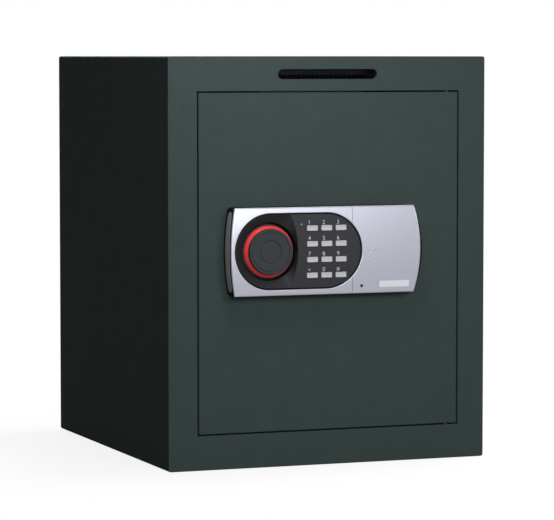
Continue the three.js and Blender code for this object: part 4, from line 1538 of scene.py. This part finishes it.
    def make_cover(self) -> None:
        """Makes the battery cover right of the seam, with its screw hole and four dimples."""
        solid = halved(self.shell_plate(), self.seam + self.seam_gap / 2, keep_left=False)
        solid = bent(solid, self.slices(), self.drop)
        screw = Box.of("battery_cover_screw")
        x, _, z = screw.middle
        tools = [rod(
            (x, self.front - self.shell, z), (x, self.front + 3 * self.shell, z),
            self.screw_radius + self.screw_gap)]
        tools += [self.dimple(self.seam + right, self.z + up) for right, up in self.dimples]
        solid = combined(solid, tools, Operation.CUT)
        self.workshop.publish("battery_cover_fine", solid, SILVER, Body.LID, ["battery_cover"])
        top, radius = screw.front + self.screw_sunk, self.screw_radius
        profile = [
            (0, top + self.screw_chamfer, 0), (radius * self.screw_face, top, self.screw_edge),
            (radius, top + self.screw_chamfer, self.screw_edge), (radius, screw.back, 0),
            (0, screw.back, 0),
        ]
        solid = turned(profile, (x, z), steps=32)
        self.workshop.publish(
            "cover_screw_fine", solid, SCREW_BLACK, Body.LID, ["battery_cover_screw"])

    def dimple(self, x: float, z: float) -> Mesh:
        """Returns the ball that presses one dimple into the front.

        Args:
            x: The x of the dimple's middle.
            z: The z of the dimple's middle.

        Returns:
            The ball.
        """
        reach = (self.dimple_radius ** 2 + self.dimple_depth ** 2) / (2 * self.dimple_depth)
        mesh = bmesh.new()
        place = (x, self.front + self.drop(z) + self.dimple_depth - reach, z)
        bmesh.ops.create_uvsphere(
            mesh, u_segments=64, v_segments=64, radius=reach, matrix=Matrix.Translation(place))
        return mesh

    def make_label(self) -> None:
        """Makes the bare pale label on the battery cover."""
        middle = self.z + self.label_middle
        low, high = middle - self.label_height / 2, middle + self.label_height / 2
        left, right = self.x + self.label_left, self.x + self.label_right
        outline = rectangle(left, right, low, high, self.label_corner)
        solid = plate(Rim(outline), [], self.front - self.label_thickness, self.front, steps=2)
        slices = self.label_slices
        levels = [low + self.label_height * step / slices for step in range(1, slices)]
        solid = bent(solid, levels, self.drop)
        self.workshop.publish("bare_label", solid, LABEL, Body.LID)


@dataclass
class Keypad:
    """The keypad insert: the textured field, the knob's well, the keys and their numbers."""

    workshop: Workshop
    panel: LockPanel
    rim_edge: float = 0.0003
    rim_steps: int = 180
    field_gap: float = 0.0015
    hole_edge: float = 0.0002
    key_flange: float = 0.001
    key_gap: float = 0.0003
    key_corner: float = 0.0010
    key_edge: float = 0.0006
    key_dish: float = 0.00025
    key_slices: int = 10
    funnel_reach: float = 0.0444
    crease_radius: float = 0.1102
    crease_back: float = 0.0747
    well_radius: float = 0.035
    well_edge: float = 0.0012
    well_back_edge: float = 0.0004
    well_wall: float = 0.002
    funnel_depth: float = 0.006
    thickness: float = 0.0024
    bore_radius: float = 0.0063
    light_gap: float = 0.0003
    lens_share: float = 0.6
    lens_rise: float = 0.0005
    lens_sunk: float = 0.0001
    lens_crown: float = 0.0006
    lens_edge: float = 0.0003
    number_height: float = 0.0052
    number_left: float = 0.0038
    number_above: float = 0.0070
    print_thickness: float = 0.00006
    capital_share: float = 0.72
    stroke_thinning: float = 60.0
    letter_steps: int = 6

    KEYS = ("1", "2", "3", "4", "5", "6", "7", "8", "9", "star", "0", "hash")
    SIGNS = {"star": "*", "hash": "#"}
    SAME_POINT = 0.000001

    def build(self) -> None:
        """Makes all the pieces of the keypad."""
        self.make_field()
        self.make_well()
        for name in self.KEYS:
            self.make_key(name)
        self.make_numbers()
        self.make_light()
        self.workshop.dressed("key_mat", RUBBER)
        self.workshop.dressed("circuit_board", BOARD)

    def funnel_rim(self, angle: float) -> float:
        """Returns how far the funnel's rim is from the knob's axis.

        Args:
            angle: The direction, counter-clockwise from +X.

        Returns:
            The distance, up to the insert's edge or to the crease beside the keys.
        """
        cosine, sine = math.cos(angle), abs(math.sin(angle))
        if cosine <= 0:
            return self.funnel_reach
        across = math.sqrt(self.crease_radius ** 2 - (self.crease_back * sine) ** 2)
        crease = across - self.crease_back * cosine
        return min(crease, self.funnel_reach / sine) if sine > 0 else crease

    def rim_angles(self) -> list[float]:
        """Returns the directions in which the funnel's rim has a point."""
        return [math.tau * step / self.rim_steps for step in range(self.rim_steps)]

    def rim_loop(self) -> Loop:
        """Returns the funnel's rim as an outline.

        Returns:
            The outline, counter-clockwise.
        """
        loop = []
        for angle in self.rim_angles():
            reach = self.funnel_rim(angle)
            loop.append((
                self.panel.knob_x + reach * math.cos(angle), self.panel.z + reach * math.sin(angle)))
        return loop

    def key_box(self, name: str) -> tuple[float, float, float, float]:
        """Returns the sides of a key where it stands out of the field.

        Args:
            name: The key's name.

        Returns:
            Its left, right, bottom and top.
        """
        room, flange = Box.of(f"key_{name}"), self.key_flange
        return room.left + flange, room.right - flange, room.bottom + flange, room.top - flange

    def make_field(self) -> None:
        """Makes the textured plate round the keys."""
        panel = self.panel
        radius = panel.insert_radius - self.field_gap
        outer = Rim(stadium(panel.knob_x, panel.right_x, panel.z, radius), self.rim_edge)
        holes = [Rim(self.rim_loop())]
        for name in self.KEYS:
            left, right, bottom, top = self.key_box(name)
            gap = self.key_gap
            outline = rectangle(
                left - gap, right + gap, bottom - gap, top + gap, self.key_corner + gap, steps=4)
            holes.append(Rim(outline, self.hole_edge))
        light = Box.of("status_led")
        radius = (light.right - light.left) / 2 + self.light_gap
        outline = circle((light.middle.x, light.middle.z), radius, steps=24)
        holes.append(Rim(outline, self.hole_edge))
        front = panel.insert_front
        solid = plate(outer, holes, front, front + self.thickness, steps=3)
        solid = bent(solid, panel.slices(), panel.drop)
        self.workshop.publish("key_field", solid, FIELD_BLACK, Body.DOOR, ["keypad_insert"])

    def make_well(self) -> None:
        """Makes the funnel and the well that the knob turns in."""
        panel = self.panel
        room = Box.of("keypad_insert")
        floor = room.back - self.well_wall
        outside = self.well_radius + self.well_wall
        edge = panel.insert_front + self.funnel_depth
        rows = []
        mesh = bmesh.new()
        for angle in self.rim_angles():
            reach = self.funnel_rim(angle)
            level = panel.insert_front + panel.drop(panel.z + reach * math.sin(angle))
            profile = rounded([
                (reach, level + self.thickness, 0), (reach, level, self.rim_edge),
                (self.well_radius, edge, self.well_edge), (self.well_radius, floor, self.well_edge),
                (self.bore_radius, floor, self.hole_edge), (self.bore_radius, room.back, 0),
                (outside, room.back, self.well_back_edge), (outside, edge + self.thickness, 0),
            ], ARC_STEPS)
            row = []
            for radius, y in profile:
                x, z = panel.knob_x + radius * math.cos(angle), panel.z + radius * math.sin(angle)
                row.append(mesh.verts.new((x, y, z)))
            rows.append(row)
        skin(mesh, rows, wrap=True)
        self.workshop.publish("knob_well", outwards(mesh), WELL_BLACK, Body.DOOR, ["keypad_insert"])

    def make_key(self, name: str) -> None:
        """Makes one key, with a rounded edge, a shallow dish and a flange behind the field.

        Args:
            name: The key's name.
        """
        node = f"key_{name}"
        room = Box.of(node)
        left, right, bottom, top = self.key_box(name)
        outline = rectangle(left, right, bottom, top, self.key_corner, steps=5)
        solid = plate(Rim(outline, self.key_edge), [], room.front, room.back, steps=5)
        slices = self.key_slices
        levels = [bottom + (top - bottom) * step / slices for step in range(1, slices)]
        middle, half = (bottom + top) / 2, (top - bottom) / 2
        for vertex in sliced(solid, levels).verts:
            if vertex.co.y < room.front + self.key_edge:
                share = 1 - ((vertex.co.z - middle) / half) ** 2
                vertex.co.y += self.key_dish * max(0.0, share)
        outline = rectangle(
            room.left, room.right, room.bottom, room.top, self.key_corner, steps=4)
        flange = plate(Rim(outline), [], room.back - self.key_flange, room.back, steps=2)
        solid = combined(solid, [flange], Operation.JOIN)
        self.workshop.publish(f"{node}_fine", solid, KEY_GREY, f"{node}_cap", [node])

    def make_numbers(self) -> None:
        """Prints a plain number or sign above each key."""
        parts = []
        for name in self.KEYS:
            left, right, bottom, top = self.key_box(name)
            x = (left + right) / 2 - self.number_left
            z = (bottom + top) / 2 + self.number_above
            place = Matrix.Translation((x, self.panel.insert_front, z))
            parts.append(moved(self.lettering(self.SIGNS.get(name, name)), place))
        whole = joined(parts)
        for vertex in whole.verts:
            vertex.co.y += self.panel.drop(vertex.co.z) - self.print_thickness / 2
        self.workshop.publish("key_numbers", whole, INK, Body.DOOR)

    def lettering(self, text: str) -> Mesh:
        """Makes plain upright letters.

        Args:
            text: What they say.

        Returns:
            The letters, facing -Y, with their middle at the origin.
        """
        curve = bpy.data.curves.new("lettering", "FONT")
        curve.body, curve.size = text, self.number_height / self.capital_share
        curve.align_x, curve.align_y = "CENTER", "CENTER"
        curve.extrude, curve.resolution_u = self.print_thickness / 2, self.letter_steps
        curve.offset = -self.number_height / self.stroke_thinning
        thing = bpy.data.objects.new("lettering", curve)
        bpy.context.scene.collection.objects.link(thing)
        data = evaluated(thing)
        discard(thing)
        mesh = bmesh.new()
        mesh.from_mesh(data)
        bpy.data.meshes.remove(data)
        bmesh.ops.remove_doubles(mesh, verts=mesh.verts[:], dist=self.SAME_POINT)
        levels = [vertex.co.y for vertex in mesh.verts]
        low, tall = min(levels), max(levels) - min(levels)
        middle = Matrix.Translation((0, -low - tall / 2, 0))
        return moved(mesh, Matrix.Rotation(math.pi / 2, 4, "X") @ middle)

    def make_light(self) -> None:
        """Makes the status light's domed lens."""
        room = Box.of("status_led")
        radius = (room.right - room.left) / 2
        shoulder = room.front + self.lens_sunk
        profile = [
            (0, room.front, 0), (radius * self.lens_share, shoulder, self.lens_crown),
            (radius, shoulder + self.lens_rise, self.lens_edge), (radius, room.back, 0),
            (0, room.back, 0),
        ]
        solid = turned(profile, (room.middle.x, room.middle.z), steps=32)
        self.workshop.publish("status_light", solid, LENS, Body.DOOR, ["status_led"])


@dataclass
class Knob:
    """The knob with its red ring, and the parts that turn with it."""

    workshop: Workshop
    edge: float = 0.0012
    overhang: float = 0.0050
    rise: float = 0.0011
    disc_depth: float = 0.0044
    collar_inset: float = 0.0006
    disc_share: float = 0.49
    groove_share: float = 0.86
    groove: float = 0.0006
    dish: float = 0.0007
    outer_dish: float = 0.4
    step_dish: float = 0.6
    groove_slope: float = 0.2
    groove_crest: float = 0.6
    groove_round: float = 0.0006
    rim_crest: float = 0.8
    rim_sunk: float = 0.0001
    rim_inset: float = 0.0002
    fine_edge: float = 0.0002
    middle_edge: float = 0.0003
    soft_edge: float = 0.0004
    neck_radius: float = 0.024
    base_edge: float = 0.0006
    ring_edge: float = 0.0007
    ring_gap: float = 0.0003

    def build(self) -> None:
        """Makes the knob's pieces."""
        room = Box.of("knob")
        self.radius = (room.right - room.left) / 2 - self.overhang
        self.make_knob()
        self.make_ring()
        shop = self.workshop
        shop.refined("drive_cam", ZINC, Body.KNOB)
        shop.dressed("knob_spindle", ZINC)
        shop.dressed("knob_bushing", BRASS)

    def make_knob(self) -> None:
        """Makes the knob with a dished face, an inner disc and a groove."""
        room, band = Box.of("knob"), Box.of("knob_ring")
        base, radius = (room.right - room.left) / 2, self.radius
        front = room.front - self.rise
        disc, rim = radius * self.disc_share, radius * self.groove_share
        deep, shallow = front + self.dish, front + self.dish * self.outer_dish
        seat_front = front + self.disc_depth
        seat_back = band.back + self.ring_gap
        profile = [
            (0, deep, 0), (disc - self.groove, deep, self.middle_edge),
            (disc - self.groove * self.groove_slope, deep + self.groove, self.fine_edge),
            (disc + self.groove * self.groove_crest, front + self.dish * self.step_dish,
             self.groove_round),
            (rim - self.groove / 2, shallow, self.soft_edge),
            (rim, shallow + self.groove, self.fine_edge),
            (rim + self.groove * self.rim_crest, front + self.rim_sunk, self.soft_edge),
            (radius - self.rim_inset, front, self.edge), (radius, seat_front, self.soft_edge),
            (self.neck_radius, seat_front, 0), (self.neck_radius, seat_back, 0),
            (base, seat_back, self.base_edge), (base, room.back, self.base_edge), (0, room.back, 0),
        ]
        solid = turned(profile, (room.middle.x, room.middle.z), steps=128)
        self.workshop.publish("knob_fine", solid, KNOB_BLACK, Body.KNOB, ["knob"])

    def make_ring(self) -> None:
        """Makes the red collar behind the knob's disc, wider towards the back."""
        room = Box.of("knob_ring")
        crest = Box.of("knob").front - self.rise + self.disc_depth + self.ring_gap
        outer = (room.right - room.left) / 2 - self.ring_gap
        inner = self.neck_radius + self.ring_gap
        profile = [
            (inner, crest, self.fine_edge),
            (self.radius - self.collar_inset, crest, self.middle_edge),
            (outer, room.front, self.ring_edge), (outer, room.back, self.middle_edge),
            (inner, room.back, self.fine_edge),
        ]
        solid = turned(profile, (room.middle.x, room.middle.z), steps=128, wrap=True)
        self.workshop.publish("knob_ring_fine", solid, RED, Body.KNOB, ["knob_ring"])


@dataclass
class Batteries:
    """The battery tray and its four cells."""

    workshop: Workshop
    cells: int = 4
    lip: float = 0.0006
    nub: float = 0.0013
    nub_radius: float = 0.00275
    nub_edge: float = 0.0004
    base_well: float = 0.80
    base_crimp: float = 0.85
    head_crimp: float = 0.80
    head_well: float = 0.75
    cap_share: float = 0.74
    cap_edge: float = 0.0002
    crimp_edge: float = 0.0003
    sleeve_edge: float = 0.0008

    def build(self) -> None:
        """Makes the cells, which lie head to tail, and softens their tray."""
        self.workshop.refined("battery_tray", TRAY_BLACK, Body.DOOR)
        names = [f"battery_cell_{number}" for number in range(1, self.cells + 1)]
        sleeves, ends = [], []
        for number, name in enumerate(names):
            room = Box.of(name)
            radius, length = (room.top - room.bottom) / 2, room.right - room.left
            body = length - self.nub
            sleeve = turned([
                (0, self.lip, 0), (radius * self.base_well, self.lip, 0),
                (radius * self.base_crimp, 0, self.crimp_edge), (radius, 0, self.sleeve_edge),
                (radius, body, self.sleeve_edge), (radius * self.head_crimp, body, self.crimp_edge),
                (radius * self.head_well, body - self.lip, 0), (0, body - self.lip, 0),
            ], (0, 0), steps=48)
            cap, foot, rise = radius * self.cap_share, body - 2 * self.lip, body - self.lip / 2
            end = turned([
                (0, foot, 0), (cap, foot, 0), (cap, rise, self.cap_edge),
                (self.nub_radius, rise, self.crimp_edge), (self.nub_radius, length, self.nub_edge),
                (0, length, 0),
            ], (0, 0), steps=32)
            turn = math.pi / 2 if number % 2 == 0 else -math.pi / 2
            x = room.right if turn > 0 else room.left
            place = Matrix.Translation((x, room.middle.y, room.middle.z))
            matrix = place @ Matrix.Rotation(turn, 4, "Z")
            sleeves.append(moved(sleeve, matrix))
            ends.append(moved(end, matrix))
        self.workshop.publish("cell_sleeves", joined(sleeves), CELL, Body.DOOR, names)
        self.workshop.publish("cell_terminals", joined(ends), ZINC, Body.DOOR, names)


@dataclass
class OverrideLock:
    """The mechanical override lock under the battery cover."""

    workshop: Workshop
    plug_gap: float = 0.0003
    edge: float = 0.0006
    ring_edge: float = 0.0003
    plug_back_edge: float = 0.0002
    keyway: float = 0.0014
    keyway_height: float = 0.008
    keyway_depth: float = 0.006
    keyway_clear: float = 0.001

    def build(self) -> None:
        """Makes the lock's body and plug, and dresses the parts behind the door."""
        body, plug = Box.of("override_lock_body"), Box.of("override_plug")
        centre = (body.middle.x, body.middle.z)
        radius = (plug.right - plug.left) / 2
        outer = (body.right - body.left) / 2
        hole = radius + self.plug_gap
        profile = [
            (hole, body.front, self.ring_edge), (outer, body.front, self.edge),
            (outer, body.back, self.ring_edge), (hole, body.back, 0),
        ]
        solid = turned(profile, centre, steps=64, wrap=True)
        self.workshop.publish("override_body_fine", solid, ZINC, Body.DOOR, ["override_lock_body"])
        profile = [
            (0, plug.front, 0), (radius, plug.front, self.edge),
            (radius, plug.back, self.plug_back_edge), (0, plug.back, 0),
        ]
        solid = turned(profile, centre, steps=64)
        x, z = centre
        across, up = self.keyway / 2, self.keyway_height / 2
        slot = block(
            (x - across, plug.front - self.keyway_clear, z - up),
            (x + across, plug.front + self.keyway_depth, z + up))
        solid = combined(solid, [slot], Operation.CUT)
        self.workshop.publish("override_plug_fine", solid, BRASS, Body.OVERRIDE, ["override_plug"])
        self.workshop.refined("override_nut", ZINC, Body.DOOR)
        self.workshop.refined("override_cam", ZINC, Body.OVERRIDE)


@dataclass
class Lamp:
    """A soft square lamp."""

    name: str
    place: tuple[float, float, float]
    target: tuple[float, float, float]
    size: float
    power: float
    tone: Colour = (255, 255, 255)

    def build(self) -> None:
        """Adds the lamp to the scene."""
        data = bpy.data.lights.new(self.name, "AREA")
        data.size, data.energy, data.color = self.size, self.power, linear(self.tone)[:3]
        thing = bpy.data.objects.new(self.name, data)
        thing.location = self.place
        aim = Vector(self.target) - Vector(self.place)
        thing.rotation_euler = aim.to_track_quat("-Z", "Y").to_euler()
        thing.visible_camera = False
        bpy.context.scene.collection.objects.link(thing)


@dataclass
class Studio:
    """The pale floor, the white surroundings, the lamps and the camera.

    The camera sees the floor in floor_near and the surroundings in white, while the object is lit
    by a floor of floor_tone and by a faint ambient_tone.
    """

    floor_size: float = 60.0
    floor_tone: Colour = (120, 120, 120)
    floor_near: Colour = (236, 236, 236)
    floor_white: float = 0.86
    shadow_reach: float = 0.6
    ambient: float = 0.07
    ambient_tone: Colour = (255, 210, 100)
    picture_width: float = 554.0
    focal_pixels: float = 2936.0
    sensor: float = 36.0
    camera_place: tuple[float, float, float] = (-1.343, -3.547, 0.502)
    camera_yaw: float = math.radians(20.99)
    camera_pitch: float = math.radians(4.0)

    LAMPS = (
        Lamp("front", (-0.62, -3.00, 0.80), (0.0, -0.22, 0.25), 0.8, 44),
        Lamp("sheen", (-0.15, -0.48, 0.76), (-0.05, -0.22, 0.35), 0.3, 1.8, (255, 244, 250)),
        Lamp("gloss", (0.12, -1.20, 0.53), (0.0, -0.22, 0.27), 0.3, 4.0),
        Lamp("right", (2.6, 0.1, 1.1), (0.2, 0.0, 0.25), 1.4, 60),
        Lamp("rear", (0.6, 2.9, 1.4), (0.0, 0.22, 0.25), 1.4, 75),
        Lamp("top", (0.7, 0.3, 2.4), (0.05, 0.0, 0.5), 1.0, 35),
    )

    def build(self) -> None:
        """Makes the studio."""
        self.make_camera()
        self.make_world()
        self.make_floor()
        for lamp in self.LAMPS:
            lamp.build()
        bpy.context.scene.view_settings.view_transform = "Standard"

    def make_camera(self) -> None:
        """Sets the camera at the photograph's angle."""
        data = bpy.data.cameras.new("camera")
        data.sensor_width = self.sensor
        data.lens = self.focal_pixels / self.picture_width * self.sensor
        thing = bpy.data.objects.new("camera", data)
        thing.location = self.camera_place
        flat = math.cos(self.camera_pitch)
        aim = Vector((
            math.sin(self.camera_yaw) * flat, math.cos(self.camera_yaw) * flat,
            -math.sin(self.camera_pitch)))
        thing.rotation_euler = aim.to_track_quat("-Z", "Y").to_euler()
        bpy.context.scene.collection.objects.link(thing)
        bpy.context.scene.camera = thing

    @staticmethod
    def seen(graph: Graph) -> Socket:
        """Tells rays that show the surroundings from rays that light the object.

        Args:
            graph: The graph that asks.

        Returns:
            1 for the camera's, mirrored and refracted rays, and 0 for the others.
        """
        rays = [
            graph.node("ShaderNodeLightPath", output=name)
            for name in ("Is Camera Ray", "Is Glossy Ray", "Is Transmission Ray")]
        return rays[0].larger(rays[1]).larger(rays[2])

    def make_world(self) -> None:
        """Makes surroundings that look white and light the object faintly."""
        world = bpy.data.worlds.new("studio")
        bpy.context.scene.world = world
        world.use_nodes = True
        graph = Graph(world.node_tree)
        seen = self.seen(graph)
        colour = graph.mixed(seen, linear(self.ambient_tone), (1, 1, 1, 1))
        graph.end("ShaderNodeOutputWorld", graph.node("ShaderNodeBackground", inputs={
            "Color": colour, "Strength": seen * (1 - self.ambient) + self.ambient}))

    def make_floor(self) -> None:
        """Makes the floor, which looks white and keeps a soft shadow."""
        material = bpy.data.materials.new("pale_floor")
        material.use_nodes = True
        graph = Graph(material.node_tree)
        seen = self.seen(graph)
        pale = graph.node("ShaderNodeBsdfDiffuse", inputs={
            "Color": graph.mixed(seen, linear(self.floor_tone), linear(self.floor_near))})
        white = graph.node("ShaderNodeEmission", inputs={"Color": (1, 1, 1, 1), "Strength": 1.0})
        away = graph.node(
            "ShaderNodeVectorMath", {"operation": "LENGTH"}, {0: graph.place()}, "Value")
        share = graph.node("ShaderNodeMapRange", {"interpolation_type": "SMOOTHSTEP"}, {
            "Value": away, "From Min": self.shadow_reach / 2, "From Max": self.shadow_reach,
            "To Min": self.floor_white, "To Max": 1.0})
        graph.end("ShaderNodeOutputMaterial", graph.node("ShaderNodeMixShader", inputs={
            0: seen * share, 1: pale, 2: white}))
        half = self.floor_size / 2
        mesh = bmesh.new()
        corners = ((-half, -half), (half, -half), (half, half), (-half, half))
        mesh.faces.new([mesh.verts.new((x, y, 0)) for x, y in corners])
        data = bpy.data.meshes.new("floor")
        mesh.to_mesh(data)
        mesh.free()
        data.materials.append(material)
        floor = bpy.data.objects.new("floor", data)
        bpy.context.scene.collection.objects.link(floor)


def main() -> None:
    """Loads the model, and makes every piece of the safe and the studio."""
    logging.basicConfig(level=logging.INFO, format="%(name)s: %(message)s")
    workshop = Workshop(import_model())
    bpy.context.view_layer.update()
    Studio().build()
    grid = CopyGrid()
    case = Case(workshop, grid)
    panel = LockPanel(workshop)
    for part in (
        case, Door(workshop, grid, case), BoltWork(workshop, grid), panel,
        Keypad(workshop, panel), Knob(workshop), Batteries(workshop), OverrideLock(workshop),
    ):
        part.build()
        LOG.info("%s is done", type(part).__name__)


if __name__ == "__main__":
    main()
